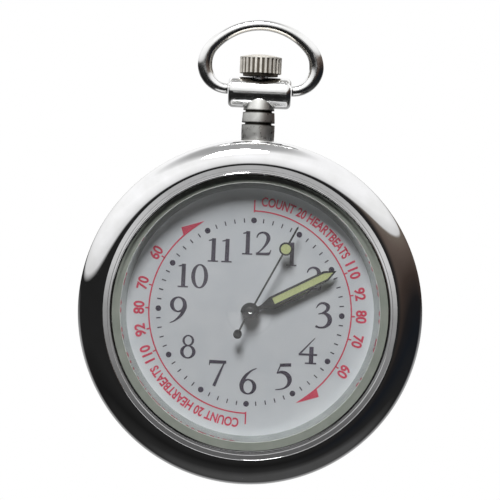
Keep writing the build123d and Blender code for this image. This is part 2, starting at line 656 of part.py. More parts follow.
def stem():
    """Winding stem: a pilot, a square for the clutch wheel, a round shaft with the lever's groove."""
    groove_low = LEVER_GROOVE - LEVER_GROOVE_WIDTH / 2
    groove_high = LEVER_GROOVE + LEVER_GROOVE_WIDTH / 2
    half = STEM_SQUARE / 2
    body = block((-half, half), (SQUARE_LOW, SQUARE_HIGH), (STEM_HEIGHT - half, STEM_HEIGHT + half))
    body += bar(PILOT_RADIUS, PILOT_FOOT, SQUARE_LOW)
    body += bar(STEM_RADIUS, SQUARE_HIGH, groove_low)
    body += bar(LEVER_GROOVE_RADIUS, groove_low, groove_high)
    return body + bar(STEM_RADIUS, groove_high, CROWN_CAVITY_TOP)


def clutch_wheel():
    """Wheel that slides on the stem's square, with face teeth and a groove for the yoke."""
    groove_low = CLUTCH_FACE + CLUTCH_GROOVE[0]
    groove_high = CLUTCH_FACE + CLUTCH_GROOVE[1]
    body = bar(CLUTCH_RADIUS, CLUTCH_FACE, groove_low)
    body += bar(CLUTCH_GROOVE_RADIUS, groove_low, groove_high)
    body += bar(CLUTCH_FLANGE_RADIUS, groove_high, CLUTCH_FACE + CLUTCH_LENGTH)
    gap = Pos(CLUTCH_RADIUS, 0, 0) * Box(CLUTCH_RADIUS, 2 * CLUTCH_TOOTH_DEPTH, CLUTCH_TOOTH_GAP)
    for tooth in range(CLUTCH_TEETH):
        body -= Pos(0, CLUTCH_FACE, STEM_HEIGHT) * Rot(0, 360 * tooth / CLUTCH_TEETH, 0) * gap
    half = STEM_SQUARE / 2 + RUNNING_GAP
    hole = ((-half, half), (CLUTCH_FACE - 1, CLUTCH_FACE + CLUTCH_LENGTH + 1))
    return body - block(*hole, (STEM_HEIGHT - half, STEM_HEIGHT + half))


def yoke():
    """Slotted slide whose finger sits in the clutch wheel's groove."""
    finger_middle = CLUTCH_FACE + sum(CLUTCH_GROOVE) / 2
    finger = (finger_middle - YOKE_FINGER / 2, finger_middle + YOKE_FINGER / 2)
    height = (YOKE_LOW, YOKE_HIGH)
    half = SETTING_POST_RADIUS + RUNNING_GAP
    head = (YOKE_POST[0] - 2 * half, YOKE_POST[0] + 2 * half)
    body = block((-STEM_RADIUS, YOKE_POST[0]), finger, height) + block(head, YOKE_HEAD, height)
    slot_side = (YOKE_POST[0] - half, YOKE_POST[0] + half)
    slot_run = (YOKE_POST[1] - half, YOKE_POST[1] + half + CLUTCH_TRAVEL)
    return body - block(slot_side, slot_run, (YOKE_LOW - 1, YOKE_HIGH + 1))


def setting_lever():
    """Lever on a post, with a pin that rides in the stem's groove."""
    pin = (LEVER_PIN_X, LEVER_GROOVE)
    arm_length = math.dist(LEVER_PIVOT, pin)
    angle = math.degrees(math.atan2(pin[1] - LEVER_PIVOT[1], pin[0] - LEVER_PIVOT[0]))
    middle = (LEVER_PIVOT[0], LEVER_PIVOT[1], (LEVER_LOW + LEVER_HIGH) / 2)
    blade = Box(arm_length, LEVER_WIDTH, LEVER_THICKNESS)
    arm = Pos(*middle) * Rot(0, 0, angle) * Pos(arm_length / 2, 0, 0) * blade
    arm += disc(LEVER_EYE, LEVER_LOW, LEVER_HIGH, LEVER_PIVOT)
    arm += disc(LEVER_WIDTH / 2, LEVER_LOW, LEVER_HIGH, pin)
    arm += disc(LEVER_PIN_RADIUS, LEVER_LOW, STEM_HEIGHT + LEVER_PIN_RADIUS, pin)
    return arm - disc(SETTING_POST_RADIUS + RUNNING_GAP, LEVER_LOW - 1, LEVER_HIGH + 1, LEVER_PIVOT)


def bow():
    """Oval wire bow whose turned-down ends pivot in the pendant barrel."""
    shoulder = BARREL_LENGTH / 2 + BOW_SIDE_GAP
    low_radius = BOW_HALF_WIDTH - shoulder
    rise = BOW_TOP_RISE - low_radius
    # The top radius makes the side and top arcs meet without a kink.
    top_radius = (BOW_HALF_WIDTH**2 + rise**2 - 2 * BOW_HALF_WIDTH * BOW_SIDE_RADIUS) / (
        2 * (rise - BOW_SIDE_RADIUS)
    )
    side_centre = (BOW_HALF_WIDTH - BOW_SIDE_RADIUS, low_radius)
    top_centre_height = BOW_TOP_RISE - top_radius
    lean = math.degrees(math.atan2(low_radius - top_centre_height, side_centre[0]))
    meeting = polar(BOW_SIDE_RADIUS, lean, side_centre)
    between = polar(BOW_SIDE_RADIUS, lean / 2, side_centre)
    widest = (BOW_HALF_WIDTH, low_radius)
    low_between = polar(low_radius, 315, (shoulder, low_radius))

    def flip(point):
        return (-point[0], point[1])

    path = [
        ThreePointArc((shoulder, 0), low_between, widest),
        ThreePointArc(widest, between, meeting),
        ThreePointArc(meeting, (0, BOW_TOP_RISE), flip(meeting)),
        ThreePointArc(flip(meeting), flip(between), flip(widest)),
        ThreePointArc(flip(widest), flip(low_between), (-shoulder, 0)),
    ]
    profile = Plane(origin=(shoulder, 0, 0), z_dir=(1, 0, 0)) * Circle(BOW_WIRE)
    body = sweep(profile, path=Wire([edge for piece in path for edge in piece.edges()]))
    inner = BARREL_LENGTH / 2 - BOW_PIN_DEPTH
    for side in (-1, 1):
        pin = Rot(0, 90, 0) * Cylinder(BOW_PIN_RADIUS, shoulder - inner)
        body += Pos(side * (inner + shoulder) / 2, 0, 0) * pin
    return Pos(0, BOW_PIVOT, STEM_HEIGHT) * body


# ---- hands --------------------------------------------------------------------------------
def baton(length, width, start, shrink):
    """Outline of a hand's blade along +y: parallel sides and a short point, drawn in by shrink."""
    half = width / 2 - shrink
    shoulder = length - 1.1 * width
    tip = length - 1.8 * shrink
    corners = ((-half, start), (-half, shoulder), (0, tip), (half, shoulder), (half, start))
    return make_face(Polyline(*corners, close=True))


def framed_hand(length, width, height, bore, clockwise):
    """Hand with a window near its tip, and the luminous strip that fills the window."""
    half_neck = HAND_NECK / 2
    blade_start = LUME_START - HAND_RIM
    taper = make_face(
        Polyline(
            (-half_neck, 0),
            (-half_neck, HAND_TAPER_START),
            (-width / 2, blade_start),
            (width / 2, blade_start),
            (half_neck, HAND_TAPER_START),
            (half_neck, 0),
            close=True,
        )
    )
    window = baton(length, width, LUME_START, HAND_RIM)
    blade = extrude(baton(length, width, blade_start, 0) + taper, HAND_THICKNESS)
    blade += disc(HUB_RADIUS, 0, HAND_THICKNESS)
    blade -= extrude(window, HAND_THICKNESS) + disc(bore, -1, 1)
    lume = Pos(0, 0, (HAND_THICKNESS - LUME_THICKNESS) / 2) * extrude(window, LUME_THICKNESS)
    place = Pos(0, 0, height) * Rot(0, 0, -clockwise)
    return place * blade, place * lume


def seconds_hand():
    """Thin hand with a luminous disc near its tip, a round counterweight and a pipe."""
    half = SECONDS_HAND_WIDTH / 2
    shoulder = SECONDS_HAND_LENGTH - SECONDS_HAND_WIDTH
    tail = -COUNTERWEIGHT_PLACE
    corners = ((-half, tail), (-half, shoulder), (0, SECONDS_HAND_LENGTH), (half, shoulder), (half, tail))
    disc_place = (0, LUME_DISC_PLACE)
    blade = extrude(make_face(Polyline(*corners, close=True)), HAND_THICKNESS)
    blade += disc(SECONDS_RING_RADIUS, 0, HAND_THICKNESS, disc_place)
    blade += disc(COUNTERWEIGHT_RADIUS, 0, HAND_THICKNESS, (0, tail))
    blade += disc(SECONDS_HUB_RADIUS, 0, HAND_THICKNESS)
    blade += disc(SECONDS_PIPE_RADIUS, -SECONDS_PIPE, HAND_THICKNESS)
    blade -= disc(LUME_DISC_RADIUS, -1, 1, disc_place)
    blade -= disc(SECONDS_ARBOR_RADIUS + FIT, -1, HAND_THICKNESS / 2)
    lume = disc(LUME_DISC_RADIUS, 0, LUME_THICKNESS, disc_place)
    place = Pos(0, 0, SECONDS_HAND_HEIGHT) * Rot(0, 0, -SECONDS_HAND_ANGLE)
    return place * blade, place * Pos(0, 0, (HAND_THICKNESS - LUME_THICKNESS) / 2) * lume


# ---- movement: plates ------------------------------------------------------------------------
def main_plate():
    """Moulded plate that carries the train, the motion work, the stem and the battery."""
    plate = disc(PLATE_RADIUS, PLATE_LOW, PLATE_HIGH)
    plate += ring(PLATE_RADIUS, PLATE_RADIUS - PLATE_RIM, PLATE_LOW, DIAL_BACK)
    plate += ring(FLANGE_RADIUS, PLATE_RADIUS - PLATE_RIM, DIAL_BACK - FLANGE_THICKNESS, DIAL_BACK)
    # On the dial side stand the posts of the minute wheel and the setting wheel.
    plate += disc(POST_RADIUS, PLATE_LOW, MINUTE_POST_TOP, MINUTE_WHEEL_PLACE)
    plate += disc(SETTING_POST_RADIUS, PLATE_LOW, SETTING_POST_TOP, SETTING_PLACE)
    # On the battery side stand the posts of the yoke, the lever, the bridge and the board.
    for place, foot in ((YOKE_POST, YOKE_LOW), (LEVER_PIVOT, LEVER_LOW)):
        plate += disc(SETTING_POST_RADIUS, foot - RUNNING_GAP, PLATE_HIGH, place)
    for place in BRIDGE_PILLARS:
        plate += disc(PILLAR_RADIUS, BRIDGE_HIGH, PLATE_HIGH, place)
    for place in BOARD_POSTS:
        plate += disc(PILLAR_RADIUS, BOARD_HIGH, PLATE_HIGH, place)
    for half, run in ((PILOT_HALF_WIDTH, PILOT_BOSS), (GUIDE_HALF_WIDTH, GUIDE_BOSS)):
        plate += block((-half, half), run, (STEM_HEIGHT - half, PLATE_HIGH))
    plate -= bar(PILOT_RADIUS + RUNNING_GAP, PILOT_BOSS[0] - 1, PILOT_BOSS[1] + FIT)
    plate -= bar(STEM_RADIUS + RUNNING_GAP, GUIDE_BOSS[0] - FIT, GUIDE_BOSS[1] + 1)
    # Openings: the clutch wheel's window, the centre hole, the battery's pocket and the dial feet.
    plate -= block(*CLUTCH_WINDOW, (PLATE_LOW - 1, PLATE_HIGH + 1))
    plate -= disc(CENTER_TUBE_RADIUS + RUNNING_GAP, PLATE_LOW - 1, PLATE_HIGH + 1)
    pocket_top = BATTERY_HIGH + INSULATOR_THICKNESS
    plate -= disc(BATTERY_RADIUS + BATTERY_CLEARANCE, PLATE_LOW - 1, pocket_top, BATTERY_PLACE)
    for angle in DIAL_FOOT_ANGLES:
        foot = polar(DIAL_FOOT_PLACE, angle)
        plate -= disc(DIAL_FOOT_RADIUS + RUNNING_GAP, PLATE_LOW - 1, PLATE_HIGH + 1, foot)
    for place in (THIRD_PLACE, FIFTH_PLACE, ROTOR_PLACE):
        plate -= disc(ARBOR_RADIUS + RUNNING_GAP, PLATE_LOW - 1, ARBOR_TOP + RUNNING_GAP, place)
    for place in BRIDGE_PILLARS:
        plate -= disc(SCREW_RADIUS + FIT, BRIDGE_HIGH - 1, BRIDGE_HIGH + SCREW_DEPTH, place)
    for place in BOARD_POSTS:
        plate -= disc(SCREW_RADIUS + FIT, BOARD_HIGH - 1, BOARD_HIGH + SCREW_DEPTH, place)
    return plate


def movement_holder():
    """Plastic ring that centres the movement in the case and carries the dial."""
    holder = ring(REHAUT_OUTER, PLATE_RADIUS + HOLDER_CLEARANCE, HOLDER_LOW, DIAL_BACK)
    seat_low = DIAL_BACK - FLANGE_THICKNESS
    holder -= disc(FLANGE_RADIUS + HOLDER_CLEARANCE, seat_low, DIAL_BACK + 1)
    return holder - bar(TUBE_RADIUS + SEAL_CLEARANCE, PLATE_RADIUS - 1, CASE_RADIUS)


def bridge_plan(margin):
    """Flat outline that encloses the train's pivots and the bridge's pillars by a margin."""
    places = [(0.0, 0.0), THIRD_PLACE, FIFTH_PLACE, ROTOR_PLACE, *BRIDGE_PILLARS]
    circles = [Edge.make_circle(margin, Plane(origin=(x, y, 0))) for x, y in places]
    return make_hull(circles)


def train_bridge():
    """Plate under the train that holds the lower pivots."""
    plate = Pos(0, 0, BRIDGE_LOW) * extrude(bridge_plan(BRIDGE_MARGIN), BRIDGE_THICKNESS)
    floor = BRIDGE_LOW + BRIDGE_THICKNESS / 4
    plate -= disc(SECONDS_ARBOR_RADIUS + RUNNING_GAP, floor, BRIDGE_HIGH + 1)
    for place in (THIRD_PLACE, FIFTH_PLACE, ROTOR_PLACE):
        plate -= disc(ARBOR_RADIUS + RUNNING_GAP, floor, BRIDGE_HIGH + 1, place)
    for place in BRIDGE_PILLARS:
        plate -= disc(SCREW_RADIUS + RUNNING_GAP, BRIDGE_LOW - 1, BRIDGE_HIGH + 1, place)
    return plate


def circuit_board():
    """Crescent-shaped board beside the bridge, over the coil."""
    board = disc(BOARD_RADIUS, BOARD_LOW, BOARD_HIGH)
    board &= block((-BOARD_RADIUS, STRAP_END[0] - BOARD_GAP - PILLAR_RADIUS), (-BOARD_RADIUS, 0), BOARD_SPAN)
    board -= Pos(0, 0, BOARD_LOW - 1) * extrude(bridge_plan(BRIDGE_MARGIN + BOARD_GAP), 3)
    for place in BOARD_POSTS:
        board -= disc(SCREW_RADIUS + RUNNING_GAP, BOARD_LOW - 1, BOARD_HIGH + 1, place)
    return board


def screw(place, seat):
    """Slotted screw whose head bears on z = seat from below."""
    body = disc(SCREW_HEAD_RADIUS, seat - SCREW_HEAD_HEIGHT, seat, place)
    slot = SCREW_SLOT / 2
    body -= block(
        (place[0] - 1, place[0] + 1),
        (place[1] - slot, place[1] + slot),
        (seat - SCREW_HEAD_HEIGHT, seat - SCREW_HEAD_HEIGHT / 2),
    )
    return body + disc(SCREW_RADIUS, seat, seat + SCREW_LENGTH, place)


def battery_strap():
    """Flat spring that holds the battery, fixed under one of the bridge's screws."""
    low = BRIDGE_LOW - STRAP_THICKNESS
    run = math.dist(STRAP_END, STRAP_TIP)
    angle = math.degrees(math.atan2(STRAP_TIP[1] - STRAP_END[1], STRAP_TIP[0] - STRAP_END[0]))
    middle = ((STRAP_END[0] + STRAP_TIP[0]) / 2, (STRAP_END[1] + STRAP_TIP[1]) / 2)
    blade = Box(run, STRAP_WIDTH, STRAP_THICKNESS)
    strap = Pos(*middle, low + STRAP_THICKNESS / 2) * Rot(0, 0, angle) * blade
    for place in (STRAP_END, STRAP_TIP):
        strap += disc(STRAP_WIDTH / 2, low, BRIDGE_LOW, place)
    return strap - disc(SCREW_RADIUS + RUNNING_GAP, low - 1, BRIDGE_LOW + 1, STRAP_END)


# ---- movement: motor ----------------------------------------------------------------------------
def coil():
    """Winding on its core."""
    body = Rot(0, 90, 0) * Cylinder(COIL_RADIUS, COIL_LENGTH)
    body -= Box(COIL_LENGTH * 2, CORE_WIDTH, CORE_THICKNESS)
    return Pos(*COIL_PLACE, COIL_HEIGHT) * body


def coil_core():
    """Flat soft-iron bar through the coil."""
    return Pos(*COIL_PLACE, COIL_HEIGHT) * Box(COIL_LENGTH + 2 * CORE_END, CORE_WIDTH, CORE_THICKNESS)


def stator():
    """Flat yoke from the core's ends to a ring round the rotor's magnet."""
    half_length = COIL_LENGTH / 2 + CORE_END
    left = COIL_PLACE[0] - half_length
    right = COIL_PLACE[0] + half_length
    core_side = COIL_PLACE[1] + CORE_WIDTH / 2
    cross_low = COIL_PLACE[1] + COIL_RADIUS + STATOR_GAP
    height = (STATOR_LOW, STATOR_LOW + STATOR_THICKNESS)
    leg = CORE_END - STATOR_GAP
    body = block((left, right), (cross_low, cross_low + STATOR_WIDTH), height)
    for x in ((left, left + leg), (right - leg, right)):
        body += block(x, (core_side, cross_low + STATOR_WIDTH), height)
    neck = (ROTOR_PLACE[0] - STATOR_EYE, ROTOR_PLACE[0] + STATOR_EYE)
    body += block(neck, (cross_low, ROTOR_PLACE[1]), height)
    body += disc(STATOR_EYE, *height, ROTOR_PLACE)
    return body - disc(MAGNET_RADIUS + AIR_GAP, STATOR_LOW - 1, STATOR_LOW + 1, ROTOR_PLACE)


# ---- movement: wheels -----------------------------------------------------------------------------
def arbor(place):
    return disc(ARBOR_RADIUS, ARBOR_LOW, ARBOR_TOP, place)


def rotor_pinion():
    body = gear(ROTOR_MODULE, ROTOR_TEETH, *ROTOR_PINION_SPAN, ROTOR_PLACE)
    return body + arbor(ROTOR_PLACE)


def rotor_magnet():
    low = STATOR_LOW + STATOR_THICKNESS - MAGNET_THICKNESS
    return ring(MAGNET_RADIUS, ARBOR_RADIUS, low, low + MAGNET_THICKNESS, ROTOR_PLACE)


def fifth_wheel():
    """Intermediate wheel between the rotor and the seconds wheel."""
    turn = meshed_turn(ROTOR_TEETH, 0, ROTOR_DIRECTION + 180, FIFTH_TEETH)
    body = gear(ROTOR_MODULE, FIFTH_TEETH, *FIFTH_SPAN, FIFTH_PLACE, turn)
    body += gear(TRAIN_MODULE, FIFTH_PINION_TEETH, *FIFTH_PINION_SPAN, FIFTH_PLACE)
    return body + arbor(FIFTH_PLACE)


def seconds_wheel():
    """Fourth wheel, at the centre, whose arbor runs through the cannon pinion to the seconds hand."""
    turn = meshed_turn(FIFTH_PINION_TEETH, 0, FIFTH_DIRECTION + 180, SECONDS_TEETH)
    body = gear(TRAIN_MODULE, SECONDS_TEETH, *SECONDS_SPAN, turn=turn)
    body += gear(TRAIN_MODULE, SECONDS_PINION_TEETH, *SECONDS_PINION_SPAN)
    return body + disc(SECONDS_ARBOR_RADIUS, ARBOR_LOW, SECONDS_ARBOR_TOP)


def third_wheel():
    """Wheel that steps the seconds down to the centre wheel."""
    turn = meshed_turn(SECONDS_PINION_TEETH, 0, THIRD_DIRECTION, THIRD_TEETH)
    body = gear(TRAIN_MODULE, THIRD_TEETH, *THIRD_SPAN, THIRD_PLACE, turn)
    body += gear(CENTER_MODULE, THIRD_PINION_TEETH, *THIRD_PINION_SPAN, THIRD_PLACE)
    return body + arbor(THIRD_PLACE)


def center_wheel():
    """Minute wheel of the train, with a pipe that runs in the main plate."""
    turn = meshed_turn(THIRD_PINION_TEETH, 0, THIRD_DIRECTION + 180, CENTER_TEETH)
    body = gear(CENTER_MODULE, CENTER_TEETH, *CENTER_SPAN, turn=turn)
    body += disc(CENTER_TUBE_RADIUS, CENTER_SPAN[0], CANNON_SPAN[0])
    return body - disc(CENTER_BORE, -5, 5)


def cannon_pinion():
    """Pinion and pipe that stand on the centre wheel and carry the minute hand."""
    body = gear(MOTION_MODULE, CANNON_TEETH, *CANNON_SPAN)
    body += disc(CANNON_TUBE_RADIUS, CANNON_SPAN[0], MINUTE_TUBE_TOP)
    return body - disc(CENTER_BORE, -5, 5)


MINUTE_WHEEL_TURN = meshed_turn(CANNON_TEETH, 0, MINUTE_WHEEL_DIRECTION, MINUTE_WHEEL_TEETH)


def minute_wheel():
    """Motion-work wheel and pinion on a post beside the centre."""
    body = gear(MOTION_MODULE, MINUTE_WHEEL_TEETH, *MOTION_SPAN, MINUTE_WHEEL_PLACE, MINUTE_WHEEL_TURN)
    span = (MOTION_SPAN[1], MINUTE_PINION_TOP)
    body += gear(HOUR_MODULE, MINUTE_PINION_TEETH, *span, MINUTE_WHEEL_PLACE)
    return body - disc(POST_RADIUS + RUNNING_GAP, -5, 5, MINUTE_WHEEL_PLACE)


def hour_wheel():
    """Wheel on the cannon pinion's pipe; its own pipe carries the hour hand."""
    turn = meshed_turn(MINUTE_PINION_TEETH, 0, MINUTE_WHEEL_DIRECTION + 180, HOUR_TEETH)
    body = gear(HOUR_MODULE, HOUR_TEETH, *HOUR_SPAN, turn=turn)
    return body + disc(HOUR_TUBE_RADIUS, HOUR_SPAN[0], HOUR_TUBE_TOP) - disc(HOUR_TUBE_BORE, -5, 5)


def setting_wheel():
    """Wheel that the clutch turns when the hands are set."""
    rise = SETTING_PLACE[1] - MINUTE_WHEEL_PLACE[1]
    run = SETTING_PLACE[0] - MINUTE_WHEEL_PLACE[0]
    direction = math.degrees(math.atan2(rise, run))
    turn = meshed_turn(MINUTE_WHEEL_TEETH, MINUTE_WHEEL_TURN, direction, SETTING_TEETH)
    body = gear(MOTION_MODULE, SETTING_TEETH, *MOTION_SPAN, SETTING_PLACE, turn)
    return body - disc(SETTING_POST_RADIUS + RUNNING_GAP, -5, 5, SETTING_PLACE)


# ---- the assembly ------------------------------------------------------------------------------------
write("case_body", case_body())
write("bezel", bezel())
write("crystal", crystal())
write("crystal_gasket", crystal_gasket())
write("rehaut_ring", rehaut_ring())
write("dial", dial())
write("back_cover", back_cover())
write("back_gasket", back_gasket())
write("pendant_neck", pendant_neck())
write("pendant_barrel", pendant_barrel())
write("crown_tube", crown_tube())
write("crown", crown())
write("crown_gasket", crown_gasket())
write("stem", stem())
write("clutch_wheel", clutch_wheel())
write("yoke", yoke())
write("setting_lever", setting_lever())
write("bow", bow())

hour_hand, hour_lume = framed_hand(
    HOUR_HAND_LENGTH, HOUR_HAND_WIDTH, HOUR_HAND_HEIGHT, HOUR_TUBE_RADIUS, HOUR_HAND_ANGLE
)
minute_hand, minute_lume = framed_hand(
    MINUTE_HAND_LENGTH, MINUTE_HAND_WIDTH, MINUTE_HAND_HEIGHT, CANNON_TUBE_RADIUS, MINUTE_HAND_ANGLE
)
second_hand, second_lume = seconds_hand()
write("hour_hand", hour_hand)
write("hour_hand_lume", hour_lume)
write("minute_hand", minute_hand)
write("minute_hand_lume", minute_lume)
write("seconds_hand", second_hand)
write("seconds_hand_lume", second_lume)

write("main_plate", main_plate())
write("movement_holder", movement_holder())
write("dial_washer", ring(WASHER_RADIUS, WASHER_BORE, *WASHER_SPAN))
write("train_bridge", train_bridge())
bridge_seats = [BRIDGE_LOW, BRIDGE_LOW, BRIDGE_LOW - STRAP_THICKNESS]
write("bridge_screws", *[screw(place, seat) for place, seat in zip(BRIDGE_PILLARS, bridge_seats)])
write("circuit_board", circuit_board())
write("board_screws", *[screw(place, BOARD_LOW) for place in BOARD_POSTS])
write("ic_chip", disc(CHIP_RADIUS, BOARD_LOW - CHIP_HEIGHT, BOARD_LOW, CHIP_PLACE))
can = Rot(0, 90, 0) * Cylinder(CAN_RADIUS, CAN_LENGTH)
write("quartz_can", Pos(*CAN_PLACE, BOARD_LOW - CAN_RADIUS) * can)
write("battery", disc(BATTERY_RADIUS, BRIDGE_LOW, BATTERY_HIGH, BATTERY_PLACE))
write("battery_strap", battery_strap())
insulator_top = BATTERY_HIGH + INSULATOR_THICKNESS
write("battery_insulator", disc(BATTERY_RADIUS, BATTERY_HIGH, insulator_top, BATTERY_PLACE))
write("coil", coil())
write("coil_core", coil_core())
write("stator", stator())
write("rotor_magnet", rotor_magnet())
write("rotor_pinion", rotor_pinion())
write("fifth_wheel", fifth_wheel())
write("seconds_wheel", seconds_wheel())
write("third_wheel", third_wheel())
write("center_wheel", center_wheel())
write("cannon_pinion", cannon_pinion())
write("minute_wheel", minute_wheel())
write("hour_wheel", hour_wheel())
write("setting_wheel", setting_wheel())
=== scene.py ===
import json
import math

import bpy
from mathutils import Matrix, Vector
from mathutils.geometry import tessellate_polygon


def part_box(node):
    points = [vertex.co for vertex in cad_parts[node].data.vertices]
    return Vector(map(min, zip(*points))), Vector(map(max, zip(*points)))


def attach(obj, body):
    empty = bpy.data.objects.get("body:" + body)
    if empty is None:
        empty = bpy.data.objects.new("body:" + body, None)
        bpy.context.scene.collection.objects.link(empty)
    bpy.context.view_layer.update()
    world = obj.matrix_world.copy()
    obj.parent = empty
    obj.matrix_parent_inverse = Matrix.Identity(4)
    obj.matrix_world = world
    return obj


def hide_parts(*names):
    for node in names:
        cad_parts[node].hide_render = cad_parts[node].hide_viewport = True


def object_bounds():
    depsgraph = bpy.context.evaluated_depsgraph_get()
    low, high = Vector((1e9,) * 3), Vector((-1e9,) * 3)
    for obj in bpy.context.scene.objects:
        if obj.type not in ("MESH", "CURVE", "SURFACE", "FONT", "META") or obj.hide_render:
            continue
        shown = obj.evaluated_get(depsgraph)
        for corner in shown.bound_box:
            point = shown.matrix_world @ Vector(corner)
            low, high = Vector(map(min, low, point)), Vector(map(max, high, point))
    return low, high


# Looks for an open-face fob watch. Lengths are in metres, and MM turns millimetres into them.
# The watch hangs upright: the dial faces -Y, +Z points to twelve o'clock, +X to three o'clock.
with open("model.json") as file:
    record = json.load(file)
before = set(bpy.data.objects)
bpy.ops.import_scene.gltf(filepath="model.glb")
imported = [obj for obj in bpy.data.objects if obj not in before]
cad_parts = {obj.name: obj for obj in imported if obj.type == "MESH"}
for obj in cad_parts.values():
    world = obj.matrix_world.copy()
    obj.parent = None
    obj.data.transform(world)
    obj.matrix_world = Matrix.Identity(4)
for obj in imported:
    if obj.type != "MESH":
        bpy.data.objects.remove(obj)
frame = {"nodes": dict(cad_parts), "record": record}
cad_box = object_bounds()
MM = 0.001
nodes = frame["nodes"]

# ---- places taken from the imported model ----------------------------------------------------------
dial_low, dial_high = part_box("dial")
CENTRE = Vector((0, dial_low.y, (dial_low.z + dial_high.z) / 2))
barrel_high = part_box("pendant_barrel")[1]
bow_low, bow_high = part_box("bow")

# ---- printing on the dial, in millimetres --------------------------------------------------------
INK_SINK = 0.004          # how far printing starts inside the dial
INK_STEP = 0.001          # between strokes that cross, so that no two faces coincide
INK_HEIGHT = 0.014
INK_STEPS = 7             # steps before they repeat

NUMERAL_HEIGHT = 2.72
TALL_NUMERALS = 1.12      # 3, 4, 5, 6, 7 and 9 are a little taller
NUMERAL_PLACES = {        # middles, across and up from the dial's centre
    1: (4.5, 6.9), 2: (7.2, 4.2), 3: (8.5, 0.0), 4: (6.9, -4.2), 5: (4.2, -7.3), 6: (0.1, -8.0),
    7: (-3.5, -7.2), 8: (-7.0, -4.3), 9: (-8.3, -0.1), 10: (-6.8, 3.9), 11: (-3.8, 7.0), 12: (0.4, 8.0),
}
DIGIT_SPACE = 0.12

TRACK_RADIUS = 10.63
DOT_RADIUS = 0.33
TICK_LENGTH = 0.5
TICK_WIDTH = 0.13

SCALE_RADIUS = 11.73
SCALE_LINE = 0.16
SCALE_END = 143.0         # degrees clockwise from where the scale starts
ARROW_TIP = 151.0
ARROW_HALF_WIDTH = 0.46
ARROW_BULGE = 0.45        # how far the arrowhead lies outside the line
ARROW_TAILS = (6.5, 4.5)  # degrees from its inner and outer corner to the scale's end
ARROW_TIP_LIFT = 0.06     # how far its tip lies outside the line
BRACKET_TOP = 13.0
MARK_LENGTH = 0.42
LEGEND = "COUNT 20 HEARTBEATS"
LEGEND_START = 3.5
LEGEND_END = 58.0
LEGEND_RADIUS = 12.33
LEGEND_HEIGHT = 1.1
RATE_MARKS = {"110": 65.5, "92": 78.3, "80": 90.0, "70": 102.9, "60": 120.0}
RATE_RADIUS = 12.25
RATE_HEIGHT = 1.28
RATE_SQUEEZE = 0.9
LETTER_WEIGHT = 0.03     # how much bolder the lettering is than the plain typeface

# ---- bezel, in millimetres -----------------------------------------------------------------------
BEZEL_LIP = 2.95          # from the outside in to the step
BEZEL_SHOULDER_START = 0.4   # height of the straight side, from the joint with the case
BEZEL_STEP = 0.3
BEZEL_FLAT = 0.58
BEZEL_EDGE = 0.035        # softness of its edges
BEZEL_GAP_FLOOR = 2.12    # heights over the joint with the case
BEAD_RADIUS = 0.13        # bright bead round the glass
BEAD_LIP = 0.03
BEZEL_LEDGE = 1.3
BEZEL_TENON = 0.9
BEZEL_SEAL_RADIUS = 16.25
BEZEL_BORE = 15.75
BEZEL_TENON_RADIUS = 16.5

SHOULDER_STEPS = 32
BEAD_STEPS = 12

# ---- small parts, in millimetres -----------------------------------------------------------------
CAP_RADIUS = 0.62         # the cap over the middle of the hands
CAP_HEIGHT = 0.12
CAP_EYE = 0.02            # radius of the hole in its middle
CAP_SINK = 0.04           # how far it goes into the hand
CROWN_DOME = 0.35
# Painted shade: the crown's flute bottoms and dome, the neck's grooves and the seal's gap are painted dark.
FLUTE_FLOOR = 0.11        # how far inside the crown's radius the painted shade is darkest
FLUTE_RIDGE = 0.02        # and where it ends
FLUTE_TOPS = (0.5, 0.4)   # how far under the crown's top the flutes' painted shade starts to fade, and ends
NECK_GROOVES = (2.0, 3.45)   # heights of the neck's grooves over the case
GROOVE_PAINTED_SHADE = (0.12, 0.28)   # from a groove's middle to where its painted shade starts to fade, and ends
SEAL_PAINTED_SHADE = (15.85, 15.95)   # radii where the seal's painted shade starts, and where it is full

# ---- the bow's wire, in millimetres --------------------------------------------------------------
BOW_GAP = 0.1             # from the barrel's end to the bow
BOW_SIDE_RADIUS = 3.4
BOW_TOP_HALF = 0.63       # half its width in the bow's plane, at the top
BOW_SIDE_HALF = 0.84
BOW_END_HALF = 0.62
BOW_DEPTH_HALF = 0.7
BOW_STOUTEST = 0.375      # the height where it is stoutest, as a share of the bow's height
BOW_TAPER = 0.8
BOW_WIRE_SIDES = 40

# ---- camera and room -----------------------------------------------------------------------------
VIEW_DISTANCE = 320 * MM
VIEW_WIDTH = 58.2 * MM    # what the picture spans at the watch
VIEW_TURN = math.radians(2.5)
VIEW_AIM = Vector((-0.32 * MM, 0, 7.21 * MM))   # from the watch's centre to the picture's
SENSOR = 36.0

# ---- what polished metal mirrors -----------------------------------------------------------------
# Steps run from straight down, -1, to straight up, 1, in the height of the direction.
ROOM_RADIUS = 0.8
ROOM_LEFT = [
    (-0.99, 0.08), (-0.92, 0.06), (-0.80, 0.028), (-0.50, 0.012), (-0.22, 0.02), (0.12, 0.018),
    (0.17, 0.80), (0.30, 1.0), (0.54, 1.2), (0.78, 1.15), (0.86, 0.75), (0.91, 0.5), (0.99, 0.42),
]
ROOM_RIGHT = [
    (-0.99, 0.08), (-0.92, 0.05), (-0.80, 0.02), (-0.45, (0.011, 0.013, 0.017)),
    (-0.25, (0.016, 0.015, 0.016)), (-0.10, (0.05, 0.036, 0.030)), (0.06, (0.13, 0.10, 0.085)),
    (0.145, (0.18, 0.15, 0.125)), (0.165, 0.75), (0.30, 1.05), (0.60, 1.15), (0.78, 1.1),
    (0.88, 0.7), (0.99, 0.42),
]
ROOM_SLANT = 0.37         # how fast the window's lower edge rises to the right
ROOM_CAMERA = [
    (-0.078, 0.13), (-0.05, 0.23), (-0.022, 0.36), (0.005, 0.75), (0.023, 0.66), (0.036, 0.5),
]
CAMERA_PATCH = (5.6, 4.5)   # degrees from its middle to where it starts, and to where it is full
CAMERA_DROP = 1.3         # degrees that the patch's middle lies below the watch's own axis
